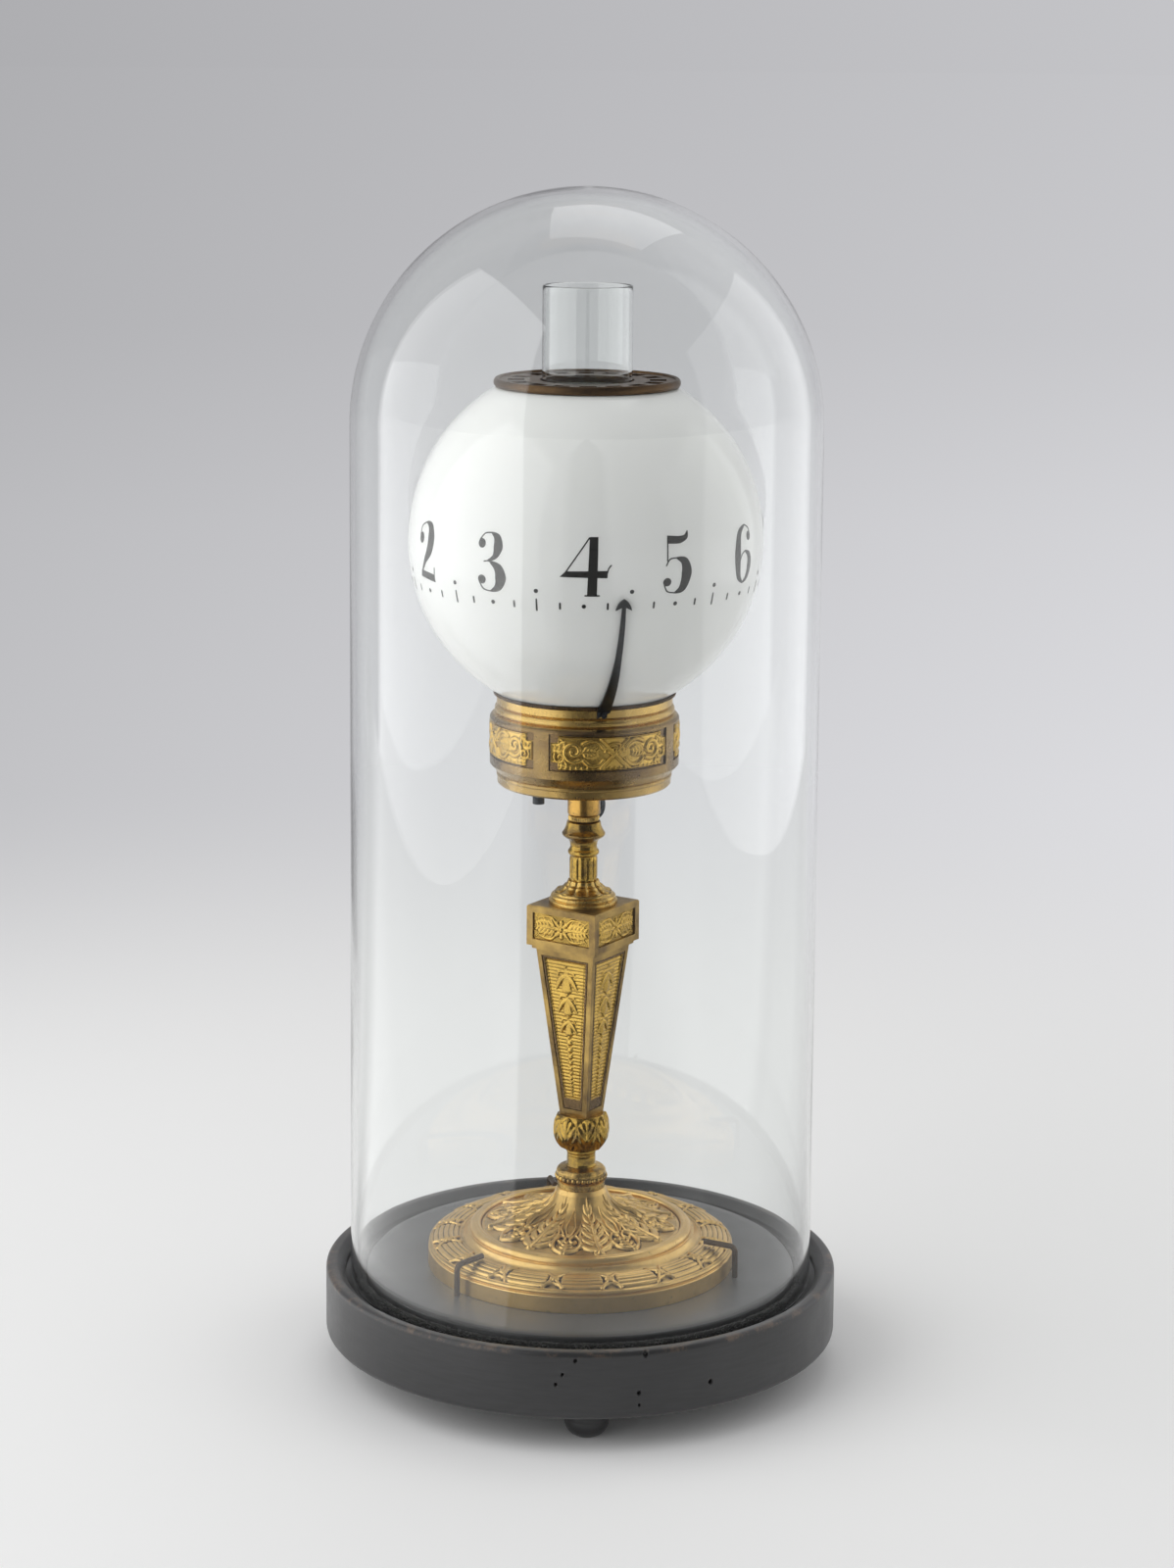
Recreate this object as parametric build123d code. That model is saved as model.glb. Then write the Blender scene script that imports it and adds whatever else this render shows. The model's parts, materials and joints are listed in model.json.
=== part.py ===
from build123d import *
import math
import os

# Oil lamp clock under a glass dome, in millimetres, +Z up, origin on the floor
# under the centre of the wood base, front of the clock towards -Y.
# Heights with the name suffix _Z are counted from the top of the wood base.

FOOT_HEIGHT = 13.0
BASE_THICKNESS = 26.0
BASE_RADIUS = 100.0
BASE_TOP = FOOT_HEIGHT + BASE_THICKNESS

PLATFORM_RADIUS = 83.8
RIM_RADIUS = 92.5
GROOVE_DEPTH = 5.0

DOME_RADIUS = 90.27
DOME_WALL = 2.4
DOME_CENTRE_Z = 331.06
CORD_WIRE = 1.9
CORD_RING_RADIUS = 85.75

BUN_RADIUS = 8.3
BUN_CIRCLE = 80.0
BUN_ANGLES = (-100, 20, 140)

BRASS_FOOT_RADIUS = 60.0
CLIP_ANGLES = (-150, -30, 90)
CLIP_WIRE = 1.1
CLIP_CIRCLE = BRASS_FOOT_RADIUS + 3.0
CLIP_DEPTH = 7.0
NUT_RECESS = 9.0

BORE = 2.5
ROD_RADIUS = 2.0

CONE_Z = 13.2
COLLAR_Z = 30.0
COLLAR_RADIUS = 9.3
NECK_Z = 38.5
BALL_Z = 45.2
SHAFT_Z = 59.7
SHAFT_SIDE_LOW = 12.2
SHAFT_SIDE_TOP = 26.2
CAP_MOULD_Z = 127.0
CAP_Z = 128.5
CAP_TOP_Z = 144.3
CAP_SIDE = 31.6
NECK_RING_Z = CAP_TOP_Z
REED_Z = 153.0
REED_RADIUS = 5.24
KNOP_Z = 167.2
NUT_Z = 176.6
NUT_RADIUS = 5.77
TUBE_Z = 179.5
TUBE_RADIUS = 6.35
BOSS_RADIUS = 4.8

DRUM_Z = 192.0
DRUM_RADIUS = 36.5
DRUM_TOP_Z = 227.0
DRUM_BORE = 32.0
BAND_RADIUS = 33.9
FLOOR_TOP_Z = 193.5
PANEL_COUNT = 4
PANEL_ARC = 80.0
PANEL_LOW_Z = 203.5
PANEL_TOP_Z = 217.7
PANEL_PHASE = -90 + 6.5
PANEL_DEPTH = 0.7

# Movement, between its two plates.
PLATE_RADIUS = 30.5
LOWER_PLATE_Z = 195.6
UPPER_PLATE_Z = 208.0
PLATE_THICK = 1.2
PIVOT_RADIUS = 0.6
PIVOT_GAP = 0.05
WHEEL_THICK = 1.0

CARRIER_TEETH, CARRIER_MODULE = 96, 0.45
GREAT_TEETH, GREAT_MODULE = 48, 0.55
CENTRE_TEETH, CENTRE_MODULE = 48, 0.42
THIRD_TEETH, THIRD_MODULE = 48, 0.38
FOURTH_TEETH, FOURTH_MODULE = 40, 0.40
LEAVES = 8
WHEEL_SHARE = 0.40
LEAF_SHARE = 0.34
MESH_OPEN = 11.6

KEY_SQUARE = 2.5
KEY_ANGLE = 44.0

BARREL_ORBIT = 18.0
BARREL_ANGLE = 68.4
THIRD_ORBIT = 20.0
TRAIN_ORBIT = 19.0
LEVER_STEP = 6.2
BALANCE_STEP = 7.0

# Lamp.
FONT_Z = UPPER_PLATE_Z + PLATE_THICK
FONT_RADIUS = 18.5
FONT_TOP_Z = 222.5
BURNER_Z = 226.0
GALLERY_Z = 236.0
CHIMNEY_RADIUS = 17.2
CHIMNEY_WALL = 1.1
CHIMNEY_TOP_Z = 384.0
WICK_TOP_Z = 251.0
SPINDLE_Z = 232.2
SPINDLE_Y = 2.6

GLOBE_RADIUS = 68.0
GLOBE_WALL = 2.5
GLOBE_CENTRE_Z = 286.9
GLOBE_BOTTOM_Z = 228.0
GLOBE_TOP_Z = 345.4
GLOBE_LOW_BORE = 30.0
GLOBE_TOP_BORE = 33.2
CARRIER_LIP = 34.9
CROWN_Z = 220.9

VENT_RADIUS = 35.64
VENT_Z = 345.8
VENT_HOLE = 18.0
VENT_SLOTS = 16

POINTER_GAP = 1.6
POINTER_THICK = 0.8
POINTER_TIP_LATITUDE = -10.0
POINTER_LOW_LATITUDE = -55.5
POINTER_FOOT_Z = 223.75
POINTER_SCREW_Z = 225.0


def turned(start, *moves):
    """Solid of revolution. A move is (r, z), or (r, z, r, z) for an arc through the first point."""
    edges = []
    here = (start[0], 0, start[1] + BASE_TOP)
    first = here
    for move in moves:
        end = (move[-2], 0, move[-1] + BASE_TOP)
        if len(move) == 2:
            edges.append(Line(here, end))
        else:
            middle = (move[0], 0, move[1] + BASE_TOP)
            edges.append(ThreePointArc(here, middle, end))
        here = end
    if math.dist(here, first) > 1e-6:
        edges.append(Line(here, first))
    return revolve(Face(Wire(edges)), Axis.Z, 360)


def rod(radius, low, top, x=0.0, y=0.0):
    """Upright cylinder between two heights above the base top."""
    return Pos(x, y, (low + top) / 2 + BASE_TOP) * Cylinder(radius, top - low)


def slab(size_x, size_y, low, top, x=0.0, y=0.0):
    """Upright box between two heights above the base top."""
    return Pos(x, y, (low + top) / 2 + BASE_TOP) * Box(size_x, size_y, top - low)


def on_circle(radius, angle):
    return radius * math.cos(math.radians(angle)), radius * math.sin(math.radians(angle))


def toothed(module, teeth, share, addendum, dedendum, flank_steps, thick):
    """Spur wheel centred on Z with its lower face at z = 0, flanks cut to the involute."""
    pitch = module * teeth / 2
    base = pitch * math.cos(math.radians(20))
    tip = pitch + addendum * module
    root = pitch - dedendum * module

    def half_angle(radius):
        roll = math.acos(min(1.0, base / max(radius, base)))
        lean = math.tan(roll) - roll
        start = math.tan(math.radians(20)) - math.radians(20)
        return share * math.pi / teeth + start - lean

    radii = [root, tip] if flank_steps == 1 else [root, pitch, tip]
    points = []
    for tooth in range(teeth):
        centre = 2 * math.pi * tooth / teeth
        flank = [(radius, -half_angle(radius)) for radius in radii]
        flank += [(radius, half_angle(radius)) for radius in reversed(radii)]
        for radius, turn in flank:
            points.append((radius * math.cos(centre + turn), radius * math.sin(centre + turn)))
    return extrude(make_face(Polyline(points, close=True)), thick)


def wheel(module, teeth, low, thick=WHEEL_THICK):
    return Pos(0, 0, low + BASE_TOP) * toothed(module, teeth, WHEEL_SHARE, 0.8, 1.2, 1, thick)


def pinion(module, low, top):
    leaves = toothed(module, LEAVES, LEAF_SHARE, 0.8, 1.25, 2, top - low)
    return Pos(0, 0, low + BASE_TOP) * leaves


def mesh_distance(module, teeth):
    return module * (teeth + LEAVES) / 2


def angle_between(orbit_a, orbit_b, distance):
    """Angle at the clock's axis between two arbors a given distance apart."""
    cosine = (orbit_a ** 2 + orbit_b ** 2 - distance ** 2) / (2 * orbit_a * orbit_b)
    return math.degrees(math.acos(cosine))


def bearing(centre, other):
    return math.degrees(math.atan2(other[1] - centre[1], other[0] - centre[0]))


# Places of the arbors, worked out from the sizes of the wheels that mesh.
HOUR_ORBIT = mesh_distance(CARRIER_MODULE, CARRIER_TEETH)
GREAT_MESH = mesh_distance(GREAT_MODULE, GREAT_TEETH)
CENTRE_MESH = mesh_distance(CENTRE_MODULE, CENTRE_TEETH)
ESCAPE_MESH = mesh_distance(FOURTH_MODULE, FOURTH_TEETH)

HOUR_ANGLE = BARREL_ANGLE + angle_between(BARREL_ORBIT, HOUR_ORBIT, GREAT_MESH)
THIRD_ANGLE = HOUR_ANGLE + angle_between(HOUR_ORBIT, THIRD_ORBIT, CENTRE_MESH)
FOURTH_ANGLE = THIRD_ANGLE + angle_between(THIRD_ORBIT, TRAIN_ORBIT, MESH_OPEN)
ESCAPE_ANGLE = FOURTH_ANGLE + angle_between(TRAIN_ORBIT, TRAIN_ORBIT, ESCAPE_MESH)
LEVER_ANGLE = ESCAPE_ANGLE + angle_between(TRAIN_ORBIT, TRAIN_ORBIT, LEVER_STEP)
BALANCE_ANGLE = LEVER_ANGLE + angle_between(TRAIN_ORBIT, TRAIN_ORBIT, BALANCE_STEP)
SETTING_ANGLE = 184.0
SETTING_ORBIT = 18.2

BARREL_AT = on_circle(BARREL_ORBIT, BARREL_ANGLE)
HOUR_AT = on_circle(HOUR_ORBIT, HOUR_ANGLE)
THIRD_AT = on_circle(THIRD_ORBIT, THIRD_ANGLE)
FOURTH_AT = on_circle(TRAIN_ORBIT, FOURTH_ANGLE)
ESCAPE_AT = on_circle(TRAIN_ORBIT, ESCAPE_ANGLE)
LEVER_AT = on_circle(TRAIN_ORBIT, LEVER_ANGLE)
BALANCE_AT = on_circle(TRAIN_ORBIT, BALANCE_ANGLE)
SETTING_AT = on_circle(SETTING_ORBIT, SETTING_ANGLE)
ARBOR_PLACES = (HOUR_AT, THIRD_AT, FOURTH_AT, ESCAPE_AT, LEVER_AT, BALANCE_AT)
PILLAR_ANGLES = (20, 205, 302)
PILLAR_ORBIT = 27.4


# Wood base, its feet and the dome.

def wood_base():
    """Turned base with a raised platform, a groove for the dome and a recess for the rod nut."""
    low = -BASE_THICKNESS
    base = turned(
        (BORE, 0), (PLATFORM_RADIUS - 0.6, 0), (PLATFORM_RADIUS, -0.6), (PLATFORM_RADIUS, -GROOVE_DEPTH),
        (RIM_RADIUS, -GROOVE_DEPTH), (RIM_RADIUS, -2.9), (RIM_RADIUS + 2.8, -0.5), (RIM_RADIUS + 3.5, 0),
        (BASE_RADIUS - 1.8, 0), (BASE_RADIUS - 0.5, -0.5, BASE_RADIUS, -1.8),
        (BASE_RADIUS, low + 2.0), (BASE_RADIUS - 0.6, low + 0.6, BASE_RADIUS - 2.0, low),
        (12, low), (12, low + NUT_RECESS), (BORE, low + NUT_RECESS))
    for angle in CLIP_ANGLES:
        base -= rod(CLIP_WIRE, -CLIP_DEPTH, 1, *on_circle(CLIP_CIRCLE, angle))
    return base


def bun_feet():
    low = -BASE_TOP
    bun = turned((0, low), (4.6, low), (BUN_RADIUS - 0.7, low + 2.6, BUN_RADIUS, low + 6.6),
                 (BUN_RADIUS - 0.6, low + 10.6, 5.4, low + FOOT_HEIGHT), (0, low + FOOT_HEIGHT))
    feet = []
    for angle in BUN_ANGLES:
        x, y = on_circle(BUN_CIRCLE, angle)
        feet.append(Pos(x, y, 0) * bun)
    return Compound(children=feet)


def glass_dome():
    """Blown dome: a straight tube closed by a half sphere, open at the foot."""
    inner = DOME_RADIUS - DOME_WALL
    turn = math.sqrt(0.5)
    return turned(
        (inner, -GROOVE_DEPTH), (DOME_RADIUS, -GROOVE_DEPTH), (DOME_RADIUS, DOME_CENTRE_Z),
        (DOME_RADIUS * turn, DOME_CENTRE_Z + DOME_RADIUS * turn, 0, DOME_CENTRE_Z + DOME_RADIUS),
        (0, DOME_CENTRE_Z + inner),
        (inner * turn, DOME_CENTRE_Z + inner * turn, inner, DOME_CENTRE_Z))


def dome_cord():
    """Ring of chenille cord lying in the groove inside the glass."""
    ring = Pos(0, 0, BASE_TOP - GROOVE_DEPTH + CORD_WIRE) * Torus(CORD_RING_RADIUS, CORD_WIRE)
    floor = slab(2 * BASE_RADIUS, 2 * BASE_RADIUS, -GROOVE_DEPTH - 3, -GROOVE_DEPTH + 0.3)
    return Pos(0, 0, -0.3) * (ring - floor)


# Stand, from the brass foot up to the drum.

def brass_foot():
    """Spun foot: upright band, bead, sloping band, hollow moulding and the ring that seats the cone."""
    radius = BRASS_FOOT_RADIUS
    return turned(
        (radius, 0), (radius, 6.4), (radius - 0.9, 6.9), (radius - 0.2, 7.7, radius - 1.6, 8.4),
        (53.0, 10.7, 47.4, 10.3), (46.0, 10.9, 44.5, 12.6), (43.4, 12.7), (42.9, 14.9, 41.0, 15.5),
        (39.6, 15.4, 39.2, 14.4), (39.2, CONE_Z), (37.5, CONE_Z), (37.5, 11.9), (41.6, 11.2),
        (45.2, 8.7), (56.2, 6.4), (radius - 2, 5.4), (radius - 2, 0))


def foot_clips():
    """Three bent wires that hook over the brass foot and go into the wood."""
    low = (CLIP_CIRCLE, 0, BASE_TOP - CLIP_DEPTH)
    path = FilletPolyline(low, (CLIP_CIRCLE, 0, BASE_TOP + 12.2), (50.5, 0, BASE_TOP + 13.0), radius=2.4)
    wire = sweep(Plane(origin=low, z_dir=(0, 0, 1)) * Circle(CLIP_WIRE), path=path)
    return Compound(children=[Rot(0, 0, angle) * wire for angle in CLIP_ANGLES])


def foot_cone():
    """Hollow cone that sweeps up from the ring of the foot to the collar."""
    return turned(
        (38.9, CONE_Z), (38.9, 14.3), (28.6, 16.2, 19.4, 20.0), (12.6, 24.0, 10.0, 28.6),
        (COLLAR_RADIUS, COLLAR_Z), (BORE, COLLAR_Z), (BORE, 27.4), (7.6, 26.4), (10.4, 22.9, 16.4, 19.2),
        (26.8, 14.8, 37.6, CONE_Z))


def beaded_collar():
    """Plain ring, the band that carries the beads, and a rounded shoulder up to the neck."""
    low = COLLAR_Z
    return turned(
        (BORE, low), (COLLAR_RADIUS, low), (COLLAR_RADIUS, low + 2.5), (10.0, low + 3.3), (10.0, low + 5.3),
        (9.7, low + 5.7), (9.3, low + 7.3, 7.5, low + 8.1), (6.3, NECK_Z), (BORE, NECK_Z))


def lower_neck():
    """Plain cylinder with a small foot and a groove near its top."""
    low = NECK_Z
    return turned(
        (BORE, low), (6.0, low), (5.95, low + 0.5), (5.6, low + 0.9), (5.6, low + 3.9), (5.35, low + 4.1),
        (5.6, low + 4.3), (5.6, low + 5.4), (5.85, low + 5.7), (5.85, BALL_Z), (BORE, BALL_Z))


def leaf_ball():
    """Ball of overlapping leaves that holds the foot of the shaft."""
    return turned(
        (BORE, BALL_Z), (5.85, BALL_Z), (9.2, BALL_Z + 3.4, 10.35, BALL_Z + 8.2),
        (10.0, BALL_Z + 11.6, 8.75, SHAFT_Z), (BORE, SHAFT_Z))


def column_shaft():
    """Four-sided shaft that widens upwards, standing corner to the front, with sunk panels."""
    low = Plane.XY.offset(BASE_TOP + SHAFT_Z) * Rectangle(SHAFT_SIDE_LOW, SHAFT_SIDE_LOW)
    top = Plane.XY.offset(BASE_TOP + CAP_MOULD_Z) * Rectangle(SHAFT_SIDE_TOP, SHAFT_SIDE_TOP)
    shaft = loft([low, top])
    height = CAP_MOULD_Z - SHAFT_Z
    lean = math.atan2((SHAFT_SIDE_TOP - SHAFT_SIDE_LOW) / 2, height)
    middle = (SHAFT_SIDE_LOW + SHAFT_SIDE_TOP) / 4
    border = 2.0
    slant = height / math.cos(lean) / 2 - 2.6
    face = Plane(origin=(0, -middle, BASE_TOP + SHAFT_Z + height / 2), x_dir=(1, 0, 0),
                 z_dir=(0, -math.cos(lean), -math.sin(lean)))
    narrow = SHAFT_SIDE_LOW / 2 - border + 0.25
    wide = SHAFT_SIDE_TOP / 2 - border - 0.25
    outline = Polyline((-narrow, -slant), (narrow, -slant), (wide, slant), (-wide, slant), close=True)
    panel = extrude(face * make_face(outline), -0.8)
    for quarter in range(4):
        shaft -= Rot(0, 0, 90 * quarter) * panel
    shaft -= rod(BORE, SHAFT_Z - 1, CAP_MOULD_Z + 1)
    return Rot(0, 0, 45) * shaft


def column_cap():
    """Square capital block with a sunk panel on each side."""
    middle = (CAP_Z + CAP_TOP_Z) / 2
    block = slab(CAP_SIDE, CAP_SIDE, CAP_Z, CAP_TOP_Z)
    block = chamfer(block.edges().group_by(Axis.Z)[-1], 0.5)
    block += slab(SHAFT_SIDE_TOP + 2.4, SHAFT_SIDE_TOP + 2.4, CAP_MOULD_Z, CAP_Z)
    for quarter in range(4):
        panel = Pos(0, -CAP_SIDE / 2, BASE_TOP + middle) * Box(CAP_SIDE - 5.6, 1.6, 10.6)
        block -= Rot(0, 0, 90 * quarter) * panel
    block -= rod(BORE, CAP_MOULD_Z - 1, CAP_TOP_Z + 1)
    return Rot(0, 0, 45) * block


def neck_ring():
    low = NECK_RING_Z
    return turned(
        (BORE, low), (13.3, low), (13.3, low + 1.5), (12.4, low + 1.9), (12.6, low + 3.0, 11.6, low + 3.7),
        (11.0, low + 4.7), (8.6, low + 5.3, 7.2, low + 6.6), (6.2, low + 7.4, 5.7, REED_Z), (BORE, REED_Z))


def reeded_neck():
    """Slender neck with a bead and a hollow under the knop."""
    return turned(
        (BORE, REED_Z), (REED_RADIUS, REED_Z), (REED_RADIUS, REED_Z + 10.2), (5.76, REED_Z + 10.6),
        (6.1, REED_Z + 11.5, 5.76, REED_Z + 12.4), (5.4, REED_Z + 12.8), (5.0, KNOP_Z), (BORE, KNOP_Z))


def knop():
    """Collar with a sharp rim: a hollow underside and a sloping top, like two cones."""
    low = KNOP_Z
    return turned(
        (BORE, low), (5.3, low), (5.55, low + 1.5, 6.7, low + 2.8), (7.3, low + 3.1), (8.3, low + 4.0),
        (8.45, low + 4.8), (7.35, low + 6.5, 6.7, low + 8.5), (6.5, NUT_Z), (BORE, NUT_Z))


def knurled_nut():
    return turned(
        (BORE, NUT_Z), (5.4, NUT_Z), (NUT_RADIUS, NUT_Z + 0.4), (NUT_RADIUS, TUBE_Z - 0.4),
        (5.4, TUBE_Z), (BORE, TUBE_Z))


def upper_tube():
    """Plain tube that carries the drum; the boss of the drum floor reaches down into it."""
    inside = BOSS_RADIUS + 0.2
    floor = TUBE_Z + 2
    return turned(
        (BORE, TUBE_Z), (TUBE_RADIUS - 0.3, TUBE_Z), (TUBE_RADIUS, TUBE_Z + 0.3), (TUBE_RADIUS, DRUM_Z),
        (inside, DRUM_Z), (inside, floor), (BORE, floor))


def tie_rod():
    return rod(ROD_RADIUS, -BASE_THICKNESS + 1.2, DRUM_Z - 1.0)


def rod_nut():
    """Washer and hexagon nut in the recess under the wood base."""
    seat = -BASE_THICKNESS + NUT_RECESS
    washer = rod(9.0, seat - 1.0, seat)
    nut = Pos(0, 0, BASE_TOP + seat - 5.0) * extrude(RegularPolygon(4.6, 6), 4.0)
    return washer + nut - rod(ROD_RADIUS, seat - 6, seat + 1)


# Drum.

def drum_floor():
    """Floor of the drum, with the boss that takes the tie rod."""
    plate = rod(DRUM_BORE - 0.02, DRUM_Z, FLOOR_TOP_Z)
    plate += rod(BOSS_RADIUS, DRUM_Z - 8, DRUM_Z + 0.5)
    plate -= rod(ROD_RADIUS, DRUM_Z - 9, DRUM_Z - 1.0)
    plate -= rod(3.4, DRUM_Z - 1, FLOOR_TOP_Z + 1, *BARREL_AT)
    plate -= rod(1.25, DRUM_Z - 1, FLOOR_TOP_Z + 1, *SETTING_AT)
    return plate


def drum_case():
    """Cast drum: base mouldings, a tall band with four sunk panels, a shoulder and the top band."""
    case = turned(
        (DRUM_BORE, DRUM_Z), (32.8, DRUM_Z), (33.5, DRUM_Z + 0.7), (33.5, 195.0),
        (33.9, 195.9, 33.5, 196.6), (34.5, 198.0), (35.3, 198.9, 36.1, 199.7), (DRUM_RADIUS, 200.2),
        (DRUM_RADIUS, 218.2), (36.1, 218.8), (35.2, 219.6), (34.1, 219.9),
        (34.7, 221.3, 34.1, 222.7), (33.4, 223.1), (BAND_RADIUS, 223.7), (BAND_RADIUS, 226.5),
        (33.5, DRUM_TOP_Z), (DRUM_BORE, DRUM_TOP_Z), (DRUM_BORE, 219.0), (34.6, 216.5), (34.6, 202.5),
        (DRUM_BORE + 0.4, 197.4), (DRUM_BORE + 0.2, 195.2), (30.9, 195.0), (30.9, FLOOR_TOP_Z),
        (DRUM_BORE, FLOOR_TOP_Z))
    height = PANEL_TOP_Z - PANEL_LOW_Z
    middle = BASE_TOP + (PANEL_TOP_Z + PANEL_LOW_Z) / 2
    section = Pos(DRUM_RADIUS, 0, middle) * Rot(90, 0, 0) * Rectangle(2 * PANEL_DEPTH, height)
    sunk = revolve(section, Axis.Z, PANEL_ARC)
    for panel in range(PANEL_COUNT):
        start = PANEL_PHASE - PANEL_ARC / 2 + panel * 360 / PANEL_COUNT
        case -= Rot(0, 0, start) * sunk
    return case


def pointer():
    """Blued steel hand that rises from the top band and follows the curve of the globe."""
    near = GLOBE_RADIUS + POINTER_GAP
    far = near + POINTER_THICK
    tip = math.radians(POINTER_TIP_LATITUDE)
    low = math.radians(POINTER_LOW_LATITUDE)
    mid = (tip + low) / 2

    def on_globe(radius, latitude):
        return 0, -radius * math.cos(latitude), BASE_TOP + GLOBE_CENTRE_Z + radius * math.sin(latitude)

    foot = BASE_TOP + POINTER_FOOT_Z
    bend = BASE_TOP + DRUM_TOP_Z - 0.7
    inner = -BAND_RADIUS
    side = [
        Line((0, inner, foot), (0, inner, bend)),
        Line((0, inner, bend), on_globe(near, low)),
        ThreePointArc(on_globe(near, low), on_globe(near, mid), on_globe(near, tip)),
        Line(on_globe(near, tip), on_globe(far, tip)),
        ThreePointArc(on_globe(far, tip), on_globe(far, mid), on_globe(far, low)),
        Line(on_globe(far, low), (0, inner - POINTER_THICK, bend)),
        Line((0, inner - POINTER_THICK, bend), (0, inner - POINTER_THICK, foot)),
        Line((0, inner - POINTER_THICK, foot), (0, inner, foot))]
    strip = extrude(Face(Wire(side)), 5, both=True)
    top = on_globe(near, tip)[2]
    outline = Polyline(
        (-2.6, foot - 1), (2.6, foot - 1), (2.6, bend + 1), (0.65, top - 10.5), (3.1, top - 11.5),
        (0, top), (-3.1, top - 11.5), (-0.65, top - 10.5), (-2.6, bend + 1), close=True)
    front = extrude(Plane.XZ * make_face(outline), 90)
    return strip & front


def pointer_screw():
    seat = -BAND_RADIUS - POINTER_THICK
    height = BASE_TOP + POINTER_SCREW_Z
    head = Pos(0, seat - 0.45, height) * Rot(90, 0, 0) * Cylinder(1.15, 0.9)
    slot = Pos(0, seat - 0.9, height) * Box(3, 0.5, 0.35)
    return head - slot


# Movement in the drum.

def plate_with_holes(low, centre_hole, hour_hole):
    plate = rod(PLATE_RADIUS, low, low + PLATE_THICK)
    for place in ARBOR_PLACES[1:]:
        plate -= rod(PIVOT_RADIUS + PIVOT_GAP, low - 1, low + 3, *place)
    plate -= rod(hour_hole, low - 1, low + 3, *HOUR_AT)
    plate -= rod(1.8 + PIVOT_GAP, low - 1, low + 3, *BARREL_AT)
    if centre_hole:
        plate -= rod(centre_hole, low - 1, low + 3)
    return plate


def staff(radius):
    """Arbor between the plates, with a pivot at each end that runs in its hole."""
    arbor = rod(radius, LOWER_PLATE_Z + PLATE_THICK + 0.3, UPPER_PLATE_Z - 0.3)
    return arbor + rod(PIVOT_RADIUS, LOWER_PLATE_Z + 0.1, UPPER_PLATE_Z + 1.0)


def lower_plate():
    return plate_with_holes(LOWER_PLATE_Z, 3.0, PIVOT_RADIUS + PIVOT_GAP)


def upper_plate():
    return plate_with_holes(UPPER_PLATE_Z, 0, 1.1 + PIVOT_GAP)


def movement_pillars():
    """Three pillars between the plates, each with a short foot down to the drum floor."""
    pillars = []
    for angle in PILLAR_ANGLES:
        x, y = on_circle(PILLAR_ORBIT, angle)
        pillars.append(rod(1.9, LOWER_PLATE_Z + PLATE_THICK, UPPER_PLATE_Z, x, y))
        pillars.append(rod(1.9, FLOOR_TOP_Z, LOWER_PLATE_Z, x, y))
    return Compound(children=pillars)


def barrel():
    """Spring barrel with its great wheel, turning freely on the winding arbor."""
    low = LOWER_PLATE_Z + PLATE_THICK + 0.3
    mesh = bearing(HOUR_AT, BARREL_AT)
    body = Rot(0, 0, mesh) * wheel(GREAT_MODULE, GREAT_TEETH, low, 1.2)
    body += rod(11.5, low + 1.2, low + 7.4)
    body -= rod(10.7, low + 2.0, low + 6.6)
    body -= rod(1.8 + PIVOT_GAP, low - 1, low + 9)
    return Pos(*BARREL_AT, 0) * body


def mainspring():
    """The wound spring, as one closed ring of its outer shape inside the barrel."""
    low = LOWER_PLATE_Z + PLATE_THICK + 0.3 + 2.1
    ring = rod(10.7, low, low + 4.4) - rod(5.0, low - 1, low + 6)
    return Pos(*BARREL_AT, 0) * ring


def barrel_arbor():
    """Winding arbor: pivots in both plates and a square end below the drum for the key."""
    x, y = BARREL_AT
    arbor = rod(1.8, DRUM_Z - 2.0, UPPER_PLATE_Z + PLATE_THICK - 0.2)
    square = Rot(0, 0, KEY_ANGLE) * slab(KEY_SQUARE, KEY_SQUARE, DRUM_Z - 6.5, DRUM_Z - 1.9)
    return Pos(x, y, 0) * (arbor + square)


def ratchet_wheel():
    """Saw-toothed wheel under the lower plate that holds the wound spring."""
    teeth = 18
    points = []
    for tooth in range(teeth):
        start = 2 * math.pi * tooth / teeth
        points.append((5.6 * math.cos(start), 5.6 * math.sin(start)))
        step = start + 2 * math.pi / teeth * 0.96
        points.append((4.7 * math.cos(step), 4.7 * math.sin(step)))
    low = BASE_TOP + FLOOR_TOP_Z + 0.5
    saw = Pos(0, 0, low) * extrude(make_face(Polyline(points, close=True)), 1.2)
    saw -= rod(1.8, FLOOR_TOP_Z, FLOOR_TOP_Z + 3)
    return Pos(*BARREL_AT, 0) * saw


def click():
    """Pawl beside the ratchet wheel."""
    x, y = BARREL_AT
    low = BASE_TOP + FLOOR_TOP_Z + 0.5
    arm = Polyline((-6.6, -1.4), (-5.9, 0.1), (-7.2, 8.2), (-9.4, 8.2), (-9.0, 2.0), close=True)
    pawl = Pos(x, y, low) * extrude(make_face(arm), 1.2)
    return pawl - rod(0.85, FLOOR_TOP_Z, LOWER_PLATE_Z, x - 8.3, y + 6.6)


def click_stud():
    x, y = BARREL_AT
    return rod(0.8, FLOOR_TOP_Z, LOWER_PLATE_Z, x - 8.3, y + 6.6)


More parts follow.
